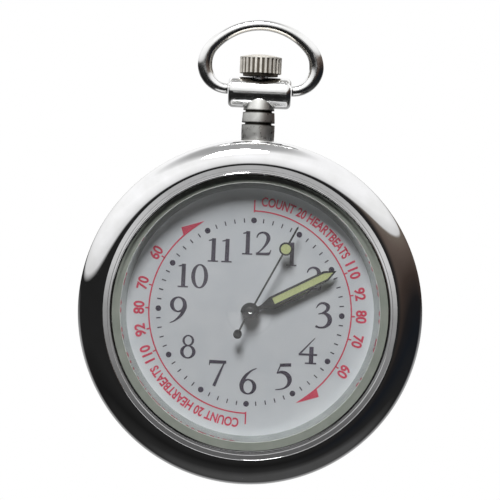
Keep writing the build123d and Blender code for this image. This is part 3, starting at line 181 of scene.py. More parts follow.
CAMERA_HEIGHTS = (-0.08, 0.04)   # heights of the direction that ROOM_CAMERA's steps run between
ROOM_SEAM = (0.14, 0.32)   # where the left side passes into the right one, across
ROOM_BEHIND = 0.42        # grey of the wall behind the watch
BEHIND_AWAY = (0.45, 0.75)   # directions away from the camera where it starts, and is full
BEHIND_UP = (-0.15, 0.05)   # heights where it starts to fade, and ends

# ---- floor, lamps and world ----------------------------------------------------------------------
FLOOR_DROP = 34 * MM
FLOOR_REACH = 0.24
KEY_LAMP = {"place": (-0.05, -0.24, 0.37), "size": 0.16, "power": 2.2, "mirrored": True}
FILL_LAMP = {"place": (0.30, -0.40, -0.05), "size": 0.4, "power": 0.03, "mirrored": False}
WORLD_LIGHT = 0.006       # strength for rays that light the object; others see white, at 1


def srgb(r, g, b):
    """A colour as it looks on a screen, 0 to 255, as the shader's linear colour."""
    def linear(value):
        value /= 255
        return value / 12.92 if value <= 0.04045 else ((value + 0.055) / 1.055) ** 2.4
    return (linear(r), linear(g), linear(b), 1.0)


# ---- materials -----------------------------------------------------------------------------------
class Nodes:
    """A material's node tree, with short calls for the nodes used here."""

    def __init__(self, name):
        self.material = bpy.data.materials.new(name)
        self.material.use_nodes = True
        self.tree = self.material.node_tree
        self.shader = self.tree.nodes["Principled BSDF"]
        self.place = self.add("ShaderNodeTexCoord").outputs["Object"]

    def add(self, kind, **settings):
        node = self.tree.nodes.new(kind)
        for key, value in settings.items():
            setattr(node, key, value)
        return node

    def link(self, source, target):
        self.tree.links.new(source, target)

    def noise(self, size, detail=4.0, stretch=(1, 1, 1)):
        """Noise whose features are about size metres across, stretched along each axis."""
        mapping = self.add("ShaderNodeMapping")
        mapping.inputs["Scale"].default_value = [1 / (size * s) for s in stretch]
        self.link(self.place, mapping.inputs["Vector"])
        noise = self.add("ShaderNodeTexNoise")
        noise.inputs["Scale"].default_value = 1.0
        noise.inputs["Detail"].default_value = detail
        self.link(mapping.outputs["Vector"], noise.inputs["Vector"])
        return noise.outputs["Fac"]

    def span(self, value, low, high, start=0.35, end=0.65):
        """Maps noise, which stays near its middle, to a range."""
        node = self.add("ShaderNodeMapRange")
        node.inputs["From Min"].default_value = start
        node.inputs["From Max"].default_value = end
        node.inputs["To Min"].default_value = low
        node.inputs["To Max"].default_value = high
        self.link(value, node.inputs["Value"])
        return node.outputs["Result"]

    def feed(self, socket, value):
        """Sets a socket to a fixed value, or links another node's output to it."""
        if isinstance(value, bpy.types.NodeSocket):
            self.link(value, socket)
        else:
            socket.default_value = value

    def blend(self, value, first, second):
        """Mixes two colours, each a fixed one or another node's output."""
        node = self.add("ShaderNodeMix", data_type="RGBA")
        self.link(value, node.inputs["Factor"])
        self.feed(node.inputs["A"], first)
        self.feed(node.inputs["B"], second)
        return node.outputs["Result"]

    def maths(self, operation, *values):
        node = self.add("ShaderNodeMath", operation=operation)
        for socket, value in zip(node.inputs, values):
            self.feed(socket, value)
        return node.outputs["Value"]

    def vector(self, operation, *values):
        """Vector arithmetic, whose result is a number for a length or a dot product."""
        node = self.add("ShaderNodeVectorMath", operation=operation)
        for socket, value in zip(node.inputs, values):
            self.feed(socket, value)
        return node.outputs["Value" if operation in ("LENGTH", "DOT_PRODUCT") else "Vector"]

    def axes(self, vector):
        parts = self.add("ShaderNodeSeparateXYZ")
        self.link(vector, parts.inputs["Vector"])
        return parts.outputs["X"], parts.outputs["Y"], parts.outputs["Z"]

    def ramp(self, value, low, high, stops):
        """Grey or coloured steps along a value that runs from low to high."""
        node = self.add("ShaderNodeValToRGB")
        elements = node.color_ramp.elements
        for place, shade in stops:
            colour = shade if isinstance(shade, tuple) else (shade, shade, shade)
            position = (place - low) / (high - low)
            element = elements.new(position)
            element.color = (*colour, 1)
        elements.remove(elements[0])
        elements.remove(elements[-1])
        self.link(self.span(value, 0, 1, low, high), node.inputs["Fac"])
        return node.outputs["Color"]

    def bump(self, height, depth):
        node = self.add("ShaderNodeBump")
        node.inputs["Distance"].default_value = depth
        self.link(height, node.inputs["Height"])
        self.link(node.outputs["Normal"], self.shader.inputs["Normal"])

    def set(self, name, value):
        self.shader.inputs[name].default_value = value


def metal(name, colour, worn, roughness, grain, depth, stretch=(1, 1, 1)):
    """Metal with uneven polish, faint staining and fine lines from the polishing wheel."""
    made = Nodes(name)
    made.set("Metallic", 1.0)
    patches = made.noise(2.4 * MM, 5)
    made.link(made.blend(made.span(patches, 0, 1), colour, worn), made.shader.inputs["Base Color"])
    smears = made.noise(0.7 * MM, 6, stretch)
    made.link(made.span(smears, *roughness), made.shader.inputs["Roughness"])
    made.bump(made.noise(grain, 3, stretch), depth)
    return made.material


def solid(name, colour, marked, roughness, grain, depth, specular=0.5):
    """Plastic, paint, rubber or paper: colour that varies a little over a fine surface grain."""
    made = Nodes(name)
    made.set("Specular IOR Level", specular)
    patches = made.noise(1.8 * MM, 5)
    made.link(made.blend(made.span(patches, 0, 1), colour, marked), made.shader.inputs["Base Color"])
    made.link(made.span(made.noise(0.5 * MM, 5), *roughness), made.shader.inputs["Roughness"])
    made.bump(made.noise(grain, 4), depth)
    return made.material


def enamel(name):
    """Smooth printed dial: pale, a little mottled, with a soft satin sheen."""
    made = Nodes(name)
    cloud = made.blend(made.span(made.noise(3.5 * MM, 3), 0, 1), srgb(219, 221, 225), srgb(211, 214, 219))
    made.link(cloud, made.shader.inputs["Base Color"])
    made.link(made.span(made.noise(0.4 * MM, 6), 0.42, 0.56), made.shader.inputs["Roughness"])
    made.bump(made.noise(0.09 * MM, 3), 0.0006 * MM)
    made.set("Specular IOR Level", 0.1)
    return made.material


def luminous(name):
    """Grainy luminous paint."""
    made = Nodes(name)
    grains = made.blend(made.span(made.noise(0.12 * MM, 6), 0, 1), srgb(204, 210, 150), srgb(184, 194, 126))
    made.link(grains, made.shader.inputs["Base Color"])
    made.link(made.span(made.noise(0.2 * MM, 4), 0.6, 0.8), made.shader.inputs["Roughness"])
    made.bump(made.noise(0.06 * MM, 5), 0.008 * MM)
    return made.material


def grimed(made, unshaded, painted_shade, mask):
    """Colours a metal by a mask: its own colour where it is 0 and dark with painted shade where it is 1."""
    dull = (*(c * 0.8 for c in unshaded[:3]), 1)
    patches = made.blend(made.span(made.noise(1.2 * MM, 5), 0, 1), unshaded, dull)
    # Blends towards the dark painted shade colour where the mask is 1.
    made.link(made.blend(mask, patches, painted_shade), made.shader.inputs["Base Color"])
    made.set("Metallic", 1.0)


def fluted_metal(name):
    """Warm nickel with painted shade: flutes painted dark at their bottoms, bright ridges between them, and
    the dome painted darker.
    """
    made = Nodes(name)
    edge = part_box("crown")[1]
    radius = made.vector("LENGTH", made.vector("MULTIPLY", made.place, (1, 1, 0)))
    height = made.axes(made.place)[2]
    # Painted shade: the flutes' bottoms are painted dark, fading out towards the ridges and under the crown's
    # top.
    inside = made.span(radius, 1, 0, edge.x - FLUTE_FLOOR * MM, edge.x - FLUTE_RIDGE * MM)
    below = made.span(height, 1, 0, *(edge.z - depth * MM for depth in FLUTE_TOPS))
    rim = edge.z - CROWN_DOME * MM
    # Painted shade: the dome is painted darker.
    dome = made.span(height, 0, 0.4, rim, rim + 0.08 * MM)
    painted_shade = made.maths("MAXIMUM", made.maths("MULTIPLY", inside, below), dome)
    # The dark brown here is painted shade on the nickel.
    grimed(made, (1.0, 0.96, 0.88, 1), (0.13, 0.11, 0.085, 1), painted_shade)
    made.set("Metallic", 0.6)
    made.link(made.span(made.noise(0.5 * MM, 5), 0.46, 0.6), made.shader.inputs["Roughness"])
    made.bump(made.noise(0.2 * MM, 4), 0.003 * MM)
    return made.material


def grooved_metal(name):
    """Satin metal with painted shade in its turned grooves."""
    made = Nodes(name)
    height = made.axes(made.place)[2]
    case_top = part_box("case_body")[1].z
    painted_shade = 0.0
    # Painted shade: a dark band is painted along each groove.
    for rise in NECK_GROOVES:
        away = made.maths("ABSOLUTE", made.maths("SUBTRACT", height, case_top + rise * MM))
        groove = made.span(away, 1, 0, *(reach * MM for reach in GROOVE_PAINTED_SHADE))
        painted_shade = made.maths("MAXIMUM", painted_shade, groove)
    # The near black colour is painted shade in the grooves.
    grimed(made, (0.86, 0.86, 0.83, 1), (0.05, 0.046, 0.04, 1), painted_shade)
    made.link(made.span(made.noise(0.6 * MM, 6), 0.26, 0.36), made.shader.inputs["Roughness"])
    made.bump(made.noise(0.3 * MM, 4), 0.002 * MM)
    return made.material


def clear_seal(name):
    """Pale plastic seal, as it is under the glass, and painted dark as shade in the gap round it."""
    made = Nodes(name)
    across_dial = made.vector("MULTIPLY", made.vector("SUBTRACT", made.place, CENTRE), (1, 0, 1))
    radius = made.vector("LENGTH", across_dial)
    pale = made.blend(made.span(made.noise(1.8 * MM, 5), 0, 1), srgb(176, 180, 170), srgb(164, 169, 159))
    # Painted shade: the gap round the glass is painted dark.
    painted_shade = made.span(radius, 0, 1, *(place * MM for place in SEAL_PAINTED_SHADE))
    made.link(made.blend(painted_shade, pale, srgb(34, 34, 32)), made.shader.inputs["Base Color"])
    made.link(made.span(made.noise(0.5 * MM, 5), 0.35, 0.5), made.shader.inputs["Roughness"])
    made.bump(made.noise(0.2 * MM, 4), 0.002 * MM)
    return made.material


def glass(name):
    """Clear glass that lets the lamps' light through to the dial."""
    made = Nodes(name)
    made.set("Base Color", (1, 1, 1, 1))
    made.set("Roughness", 0.0)
    made.set("IOR", 1.5)
    made.set("Specular IOR Level", 0.15)
    made.set("Transmission Weight", 1.0)
    made.bump(made.noise(6 * MM, 2), 0.0012 * MM)
    path = made.add("ShaderNodeLightPath")
    either = made.maths("MAXIMUM", path.outputs["Is Shadow Ray"], path.outputs["Is Diffuse Ray"])
    clear = made.add("ShaderNodeBsdfTransparent")
    clear.inputs["Color"].default_value = (0.94, 0.95, 0.95, 1)
    mix = made.add("ShaderNodeMixShader")
    made.link(either, mix.inputs["Fac"])
    made.link(made.shader.outputs["BSDF"], mix.inputs[1])
    made.link(clear.outputs["BSDF"], mix.inputs[2])
    made.link(mix.outputs["Shader"], made.tree.nodes["Material Output"].inputs["Surface"])
    return made.material


FINISH = {
    "chrome": metal(
        "chrome", (0.81, 0.81, 0.82, 1), (0.75, 0.75, 0.75, 1), (0.012, 0.05), 0.35 * MM, 0.00025 * MM
    ),
    "crystal": glass("crystal"),
    "gasket": clear_seal("gasket"),
    "rehaut": metal(
        "rehaut", (0.56, 0.58, 0.56, 1), (0.48, 0.50, 0.48, 1), (0.04, 0.10), 0.25 * MM, 0.0008 * MM
    ),
    "dial": enamel("dial"),
    "hand_black": solid(
        "hand_black", srgb(16, 16, 18), srgb(26, 25, 25), (0.45, 0.6), 0.1 * MM, 0.002 * MM, 0.3
    ),
    "lume": luminous("lume"),
    "crown": fluted_metal("crown"),
    "steel": metal(
        "steel", (0.62, 0.62, 0.63, 1), (0.52, 0.52, 0.53, 1), (0.22, 0.36), 0.08 * MM, 0.002 * MM, (8, 1, 1)
    ),
    "brass": metal("brass", (0.80, 0.60, 0.29, 1), (0.66, 0.47, 0.20, 1), (0.22, 0.36), 0.1 * MM, 0.002 * MM),
    "plate": solid("plate", srgb(84, 86, 90), srgb(70, 72, 76), (0.45, 0.6), 0.15 * MM, 0.004 * MM),
    "holder": solid("holder", srgb(222, 222, 216), srgb(204, 203, 196), (0.4, 0.55), 0.2 * MM, 0.004 * MM),
    "rubber": solid("rubber", srgb(34, 34, 35), srgb(46, 45, 44), (0.7, 0.88), 0.12 * MM, 0.006 * MM, 0.3),
    "board": solid("board", srgb(28, 96, 62), srgb(20, 74, 46), (0.25, 0.4), 0.3 * MM, 0.004 * MM),
    "epoxy": solid("epoxy", srgb(26, 26, 28), srgb(38, 38, 40), (0.3, 0.5), 0.3 * MM, 0.01 * MM),
    "winding": metal(
        "winding", (0.72, 0.34, 0.18, 1), (0.50, 0.20, 0.09, 1), (0.25, 0.4), 0.06 * MM, 0.01 * MM, (1, 8, 8)
    ),
    "soft_iron": metal(
        "soft_iron", (0.5, 0.5, 0.52, 1), (0.40, 0.40, 0.42, 1), (0.35, 0.5), 0.1 * MM, 0.003 * MM
    ),
    "magnet": metal(
        "magnet", (0.20, 0.20, 0.22, 1), (0.14, 0.14, 0.16, 1), (0.45, 0.6), 0.08 * MM, 0.004 * MM
    ),
    "insulator": solid(
        "insulator", srgb(214, 168, 74), srgb(190, 142, 56), (0.25, 0.4), 0.4 * MM, 0.002 * MM
    ),
}
BLACK_INK = solid("black_ink", srgb(50, 42, 58), srgb(62, 54, 70), (0.5, 0.65), 0.05 * MM, 0.001 * MM, 0.15)
RED_INK = solid("red_ink", srgb(208, 54, 82), srgb(216, 72, 98), (0.5, 0.65), 0.05 * MM, 0.001 * MM, 0.15)


SATIN = grooved_metal("satin_neck")
SOFT_CHROME = metal(
    "soft_chrome", (0.86, 0.86, 0.86, 1), (0.76, 0.76, 0.75, 1), (0.10, 0.20), 0.3 * MM, 0.0008 * MM
)


def paint_cad_nodes():
    """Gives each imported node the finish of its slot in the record."""
    for entry in frame["record"]["subparts"]:
        node = nodes[entry["node"]]
        node.data.materials.clear()
        node.data.materials.append(FINISH[entry["material_slot"]])
    nodes["pendant_neck"].data.materials[0] = SATIN
    nodes["pendant_barrel"].data.materials[0] = SOFT_CHROME


# ---- mesh helpers --------------------------------------------------------------------------------
def new_piece(name, vertices, faces, material, body, smooth=True):
    """A mesh object that rides on a CAD body."""
    mesh = bpy.data.meshes.new(name)
    mesh.from_pydata(vertices, [], faces)
    mesh.validate()
    mesh.update()
    mesh.polygons.foreach_set("use_smooth", [smooth] * len(mesh.polygons))
    mesh.materials.append(material)
    piece = bpy.data.objects.new(name, mesh)
    bpy.context.scene.collection.objects.link(piece)
    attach(piece, body)
    return piece


def polar(radius, clockwise):
    """Point on the dial from a radius and an angle in degrees clockwise from twelve."""
    turn = math.radians(clockwise)
    return (radius * math.sin(turn), radius * math.cos(turn))


class Print:
    """Ink on the dial: thin closed prisms over flat outlines, given in millimetres."""

    def __init__(self):
        self.vertices = []
        self.faces = []
        self.layers = 0

    def shape(self, *loops):
        """One outline, then any holes in it, each a list of (across, up) points."""
        self.layers += 1
        lift = INK_HEIGHT + INK_STEP * (self.layers % INK_STEPS)
        first = len(self.vertices)
        flat = [point for loop in loops for point in loop]
        for height in (-INK_SINK, lift):
            for across, up in flat:
                self.vertices.append(CENTRE + Vector((across * MM, -height * MM, up * MM)))
        top = first + len(flat)
        triangles = tessellate_polygon([[Vector((x, y, 0)) for x, y in loop] for loop in loops])
        for a, b, c in triangles:
            (ax, ay), (bx, by), (cx, cy) = flat[a], flat[b], flat[c]
            if (bx - ax) * (cy - ay) - (by - ay) * (cx - ax) < 0:
                b, c = c, b
            self.faces.append((top + a, top + b, top + c))
            self.faces.append((first + a, first + c, first + b))
        start = 0
        for number, loop in enumerate(loops):
            area = sum(p[0] * q[1] - q[0] * p[1] for p, q in zip(loop, loop[1:] + loop[:1]))
            outward = (area > 0) == (number == 0)
            for i in range(len(loop)):
                p, q = start + i, start + (i + 1) % len(loop)
                wall = (first + p, first + q, top + q, top + p)
                self.faces.append(wall if outward else wall[::-1])
            start += len(loop)

    def piece(self, name, material):
        return new_piece(name, self.vertices, self.faces, material, "case", smooth=False)


def smooth_path(points, steps=6):
    """Points along a smooth curve through (across, up, width) points."""
    if len(points) == 2:
        return list(points)
    ends = [points[0]] + list(points) + [points[-1]]
    path = []
    for i in range(1, len(ends) - 2):
        before, start, end, after = ends[i - 1:i + 3]
        for step in range(steps):
            t = step / steps
            path.append(tuple(
                0.5 * (
                    2 * s + (e - b) * t + (2 * b - 5 * s + 4 * e - a) * t**2 + (3 * s - b - 3 * e + a) * t**3
                )
                for b, s, e, a in zip(before, start, end, after)
            ))
    return path + [tuple(points[-1])]


def pen_stroke(points):
    """Closed outline of a pen stroke of changing width along a smooth path."""
    path = smooth_path(points)
    left, right = [], []
    for i, (x, y, width) in enumerate(path):
        before, after = path[max(i - 1, 0)], path[min(i + 1, len(path) - 1)]
        dx, dy = after[0] - before[0], after[1] - before[1]
        length = math.hypot(dx, dy)
        side = (-dy / length * width / 2, dx / length * width / 2)
        left.append((x + side[0], y + side[1]))
        right.append((x - side[0], y - side[1]))
    return left + right[::-1]


def oval(x, y, half_width, half_height, steps=40):
    return [
        (x + half_width * math.cos(math.tau * i / steps), y + half_height * math.sin(math.tau * i / steps))
        for i in range(steps)
    ]


def bowl(x, y, half_width, half_height, thick, thin):
    """Ring of a round letter: thick at its sides and thin at its top and bottom."""
    return (oval(x, y, half_width, half_height), oval(x, y, half_width - thick, half_height - thin))


# Serif digits, one unit high. A digit is its width, its pen strokes and its bowls.
SERIF_DIGITS = {
    "0": (0.72, [], [(0.36, 0.5, 0.36, 0.52, 0.17, 0.06)]),
    "1": (0.46, [
        [(0.25, 0.0, 0.18), (0.25, 1.0, 0.17)],
        [(0.02, 0.03, 0.06), (0.46, 0.03, 0.06)],
        [(0.03, 0.90, 0.04), (0.15, 0.925, 0.06), (0.28, 0.985, 0.04)],
    ], []),
    "2": (0.66, [
        [
            (0.04, 0.74, 0.05), (0.12, 0.90, 0.07), (0.30, 0.97, 0.08), (0.48, 0.89, 0.14),
            (0.54, 0.71, 0.17), (0.44, 0.46, 0.11), (0.24, 0.21, 0.06), (0.05, 0.06, 0.05),
        ],
        [(0.03, 0.055, 0.11), (0.34, 0.055, 0.11), (0.60, 0.07, 0.13)],
        [(0.59, 0.05, 0.09), (0.67, 0.24, 0.03)],
    ], []),
    "3": (0.62, [
        [
            (0.02, 0.76, 0.03), (0.14, 0.92, 0.07), (0.31, 0.96, 0.09), (0.47, 0.86, 0.15),
            (0.44, 0.70, 0.12), (0.28, 0.59, 0.06), (0.12, 0.54, 0.04),
        ],
        [
            (0.16, 0.56, 0.03), (0.37, 0.57, 0.10), (0.54, 0.43, 0.17), (0.54, 0.22, 0.16),
            (0.38, 0.06, 0.09), (0.18, 0.03, 0.07), (0.03, 0.08, 0.09),
        ],
    ], []),
    "4": (0.70, [
        [(0.60, 1.0, 0.03), (0.03, 0.37, 0.07)],
        [(0.0, 0.36, 0.08), (0.70, 0.36, 0.07)],
        [(0.48, 0.66, 0.16), (0.48, 0.0, 0.17)],
        [(0.25, 0.03, 0.06), (0.68, 0.03, 0.06)],
    ], []),
    "5": (0.62, [
        [(0.15, 0.93, 0.12), (0.58, 0.96, 0.13)],
        [(0.18, 0.93, 0.05), (0.06, 0.62, 0.05)],
        [
            (0.05, 0.62, 0.04), (0.22, 0.67, 0.11), (0.42, 0.60, 0.16), (0.54, 0.42, 0.18),
            (0.50, 0.20, 0.12), (0.32, 0.05, 0.06), (0.02, -0.01, 0.04),
        ],
    ], []),
    "6": (0.66, [
        [(0.64, 1.0, 0.03), (0.44, 0.90, 0.06), (0.22, 0.68, 0.12), (0.09, 0.40, 0.15), (0.10, 0.24, 0.13)],
    ], [(0.34, 0.29, 0.32, 0.30, 0.15, 0.06)]),
    "7": (0.66, [
        [(0.01, 0.92, 0.13), (0.66, 0.92, 0.12)],
        [(0.60, 0.93, 0.05), (0.42, 0.50, 0.09), (0.22, 0.0, 0.12)],
        [(0.03, 0.92, 0.05), (0.02, 0.78, 0.03)],
    ], []),
    "8": (0.68, [], [(0.34, 0.76, 0.25, 0.24, 0.10, 0.06), (0.34, 0.28, 0.33, 0.29, 0.15, 0.06)]),
    "9": (0.66, [
        [(0.02, 0.0, 0.03), (0.22, 0.10, 0.06), (0.44, 0.32, 0.12), (0.57, 0.60, 0.15), (0.56, 0.76, 0.13)],
    ], [(0.32, 0.71, 0.32, 0.30, 0.15, 0.06)]),
}


def serif_numeral(ink, text, height, place):
    """Upright numeral centred on a place on the dial."""
    width = sum(SERIF_DIGITS[c][0] for c in text) + DIGIT_SPACE * (len(text) - 1)
    x = -width / 2

    def fit(loop):
        return [(place[0] + (x + u) * height, place[1] + (v - 0.5) * height) for u, v in loop]

    for character in text:
        advance, strokes, bowls = SERIF_DIGITS[character]
        for stroke in strokes:
            ink.shape(fit(pen_stroke(stroke)))
        for sizes in bowls:
            ink.shape(*[fit(loop) for loop in bowl(*sizes)])
        x += advance + DIGIT_SPACE


def hour_numerals():
    ink = Print()
    for hour, place in NUMERAL_PLACES.items():
        height = NUMERAL_HEIGHT * (TALL_NUMERALS if hour in (3, 4, 5, 6, 7, 9) else 1)
        serif_numeral(ink, str(hour), height, place)
    return ink.piece("hour_numerals", BLACK_INK)


def radial_bar(ink, clockwise, inner, outer, width):
    """Straight mark that points away from the dial's centre."""
    turn = math.radians(clockwise)
    side = (math.cos(turn) * width / 2, -math.sin(turn) * width / 2)
    low, high = polar(inner, clockwise), polar(outer, clockwise)
    ink.shape([
        (low[0] - side[0], low[1] - side[1]),
        (high[0] - side[0], high[1] - side[1]),
        (high[0] + side[0], high[1] + side[1]),
        (low[0] + side[0], low[1] + side[1]),
    ])


def minute_track():
    """A dot at each hour and a short tick at each minute."""
    ink = Print()
    for minute in range(60):
        if minute % 5 == 0:
            ink.shape(oval(*polar(TRACK_RADIUS, 6 * minute), DOT_RADIUS, DOT_RADIUS, 32))
        else:
            half = TICK_LENGTH / 2
            radial_bar(ink, 6 * minute, TRACK_RADIUS - half, TRACK_RADIUS + half, TICK_WIDTH)
    return ink.piece("minute_track", BLACK_INK)


def lettering(text):
    """Outlines of a plain sans-serif text as a flat mesh, with its height scaled to one."""
    curve = bpy.data.curves.new("lettering", "FONT")
    curve.body = text
    curve.resolution_u = 6
    curve.offset = LETTER_WEIGHT
    carrier = bpy.data.objects.new("lettering", curve)
    bpy.context.scene.collection.objects.link(carrier)
    bpy.context.view_layer.update()
    flat = bpy.data.meshes.new_from_object(carrier.evaluated_get(bpy.context.evaluated_depsgraph_get()))
    bpy.data.objects.remove(carrier)
    xs = [v.co.x for v in flat.vertices]
    ys = [v.co.y for v in flat.vertices]
    height = max(ys) - min(ys)
    points = [((v.co.x - min(xs)) / height, (v.co.y - min(ys)) / height) for v in flat.vertices]
    return points, [tuple(p.vertices) for p in flat.polygons], (max(xs) - min(xs)) / height


def signed_area(points, polygon):
    return sum(
        points[a][0] * points[b][1] - points[b][0] * points[a][1]
        for a, b in zip(polygon, polygon[1:] + polygon[:1])
    ) / 2


def print_mesh(ink, points, polygons):
    """Adds a flat mesh as ink: its faces, raised, with walls down from its open edges."""
    first = len(ink.vertices)
    count = len(points)
    for height in (-INK_SINK, INK_HEIGHT):
        for across, up in points:
            ink.vertices.append(CENTRE + Vector((across * MM, -height * MM, up * MM)))
    # All polygons turn the same way, so they are turned together: a sliver's own area says nothing.
    mirrored = sum(signed_area(points, polygon) for polygon in polygons) < 0
    edges = set()
    for polygon in polygons:
        loop = polygon[::-1] if mirrored else polygon
        sides = list(zip(loop, loop[1:] + loop[:1]))
        if edges.intersection(sides):
            continue    # folded over a neighbour, where a bolder outline crosses itself
        edges.update(sides)
        ink.faces.append(tuple(first + count + i for i in loop))
        ink.faces.append(tuple(first + i for i in reversed(loop)))
    for a, b in sorted(edges):
        if (b, a) not in edges:
            ink.faces.append((first + a, first + b, first + count + b, first + count + a))


def curved_text(ink, text, start, height, radius, length=None, middle=False, squeeze=1.0):
    """Text round the dial with its tops outward. start is degrees clockwise from twelve."""
    points, polygons, width = lettering(text)
    reach = length if length is not None else width * height * squeeze
    scale = reach / width
    middle_radius = radius + height / 2
    offset = reach / 2 if middle else 0
    placed = [
        polar(radius + v * height, start + math.degrees((u * scale - offset) / middle_radius))
        for u, v in points
    ]
    print_mesh(ink, placed, polygons)


def pulse_scale(start):
    """Red scale that gives a pulse rate from the time that a count of beats takes."""
    ink = Print()
    steps = 90
    inner = [polar(SCALE_RADIUS - SCALE_LINE / 2, start + SCALE_END * i / steps) for i in range(steps + 1)]
    outer = [polar(SCALE_RADIUS + SCALE_LINE / 2, start + SCALE_END * i / steps) for i in range(steps + 1)]
    ink.shape(inner + outer[::-1])
    radial_bar(ink, start, SCALE_RADIUS - SCALE_LINE, BRACKET_TOP, SCALE_LINE)
    ink.shape([
        polar(SCALE_RADIUS + ARROW_BULGE - ARROW_HALF_WIDTH, start + SCALE_END - ARROW_TAILS[0]),
        polar(SCALE_RADIUS + ARROW_BULGE + ARROW_HALF_WIDTH, start + SCALE_END - ARROW_TAILS[1]),
        polar(SCALE_RADIUS + ARROW_TIP_LIFT, start + ARROW_TIP),
    ])
    for text, place in RATE_MARKS.items():
        radial_bar(ink, start + place, SCALE_RADIUS, SCALE_RADIUS + MARK_LENGTH, SCALE_LINE)
        curved_text(
            ink, text, start + place, RATE_HEIGHT, RATE_RADIUS, middle=True, squeeze=RATE_SQUEEZE
        )
    arc = math.radians(LEGEND_END - LEGEND_START) * (LEGEND_RADIUS + LEGEND_HEIGHT / 2)
    curved_text(ink, LEGEND, start + LEGEND_START, LEGEND_HEIGHT, LEGEND_RADIUS, length=arc)
    return ink.piece(f"pulse_scale_{start:03d}", RED_INK)


# ---- bezel ---------------------------------------------------------------------------------------
def lathe(name, profile, material, body, around=240, sharp=12):
    """Closed ring turned round the dial's axis from a closed outline of (radius, depth) points."""
    count = len(profile)
    vertices = []
    for k in range(around):
        turn = math.tau * k / around
        for radius, y in profile:
            vertices.append(Vector((
                CENTRE.x + radius * math.sin(turn), y, CENTRE.z + radius * math.cos(turn)
            )))
    faces = [
        (k * count + i, k * count + (i + 1) % count, (k + 1) % around * count + (i + 1) % count,
         (k + 1) % around * count + i)
        for k in range(around)
        for i in range(count)
    ]
    piece = new_piece(name, vertices, faces, material, body)
    piece.data.set_sharp_from_angle(angle=math.radians(sharp))
    return piece


def bezel_ring():
    """Polished bezel: an oval shoulder, a narrow step down to a flat ring, a dark gap and a bead."""
    low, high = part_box("bezel")
    outer = high.x
    joint = high.y
    top = joint - low.y
    step = outer - BEZEL_LIP * MM
    start = BEZEL_SHOULDER_START * MM
    shoulder = []
    for i in range(SHOULDER_STEPS + 1):
        turn = math.pi / 2 * i / SHOULDER_STEPS
        shoulder.append((
            step + BEZEL_LIP * MM * math.cos(turn), joint - start - (top - start) * math.sin(turn)
        ))
    flat = joint - top + BEZEL_STEP * MM
    ring = step - BEZEL_FLAT * MM
    soft = BEZEL_EDGE * MM
    inner = [
        (step - soft * 0.7, joint - top + soft * 0.3), (step - soft, joint - top + soft),
        (step - soft, flat - soft * 0.4), (step - soft * 1.4, flat),
        (ring + soft, flat), (ring + soft * 0.3, flat + soft * 0.3), (ring, flat + soft),
        (ring, joint - BEZEL_GAP_FLOOR * MM),
    ]
    for i in range(BEAD_STEPS + 1):
        turn = math.pi * i / BEAD_STEPS
        inner.append((
            (BEZEL_SEAL_RADIUS - BEAD_RADIUS * (1 - math.cos(turn))) * MM,
            joint - (BEZEL_GAP_FLOOR + BEAD_RADIUS * math.sin(turn)) * MM,
        ))
    under = joint - (BEZEL_GAP_FLOOR - BEAD_LIP) * MM
    inner += [
        ((BEZEL_SEAL_RADIUS - 2 * BEAD_RADIUS) * MM, under), (BEZEL_SEAL_RADIUS * MM, under),
        (BEZEL_SEAL_RADIUS * MM, joint - BEZEL_LEDGE * MM),
        (BEZEL_BORE * MM, joint - BEZEL_LEDGE * MM), (BEZEL_BORE * MM, joint - BEZEL_TENON * MM),
        (BEZEL_TENON_RADIUS * MM, joint - BEZEL_TENON * MM), (BEZEL_TENON_RADIUS * MM, joint),
        (outer - soft, joint), (outer, joint - soft),
    ]
    piece = lathe("bezel_ring", shoulder + inner, FINISH["chrome"], "case")
    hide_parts("bezel")
    return piece


def hub_cap():
    """Small black cap over the arbor that carries the seconds hand."""
    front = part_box("seconds_hand")[0].y
    radius, height, eye = CAP_RADIUS * MM, CAP_HEIGHT * MM, CAP_EYE * MM
    foot = front + CAP_SINK * MM
    profile = [
        (eye, front - height), (radius * 0.5, front - height * 0.93),
        (radius * 0.85, front - height * 0.6), (radius, front - height * 0.1), (radius, foot), (eye, foot),
    ]
    return lathe("hub_cap", profile, FINISH["hand_black"], "seconds", around=48, sharp=50)


# ---- bow -----------------------------------------------------------------------------------------
def arc_points(centre, radius, start, end, steps):
    """Points along an arc, from one angle in degrees to another, without the last."""
    return [
        (
            centre[0] + radius * math.cos(math.radians(start + (end - start) * i / steps)),
            centre[1] + radius * math.sin(math.radians(start + (end - start) * i / steps)),
        )
        for i in range(steps)
    ]


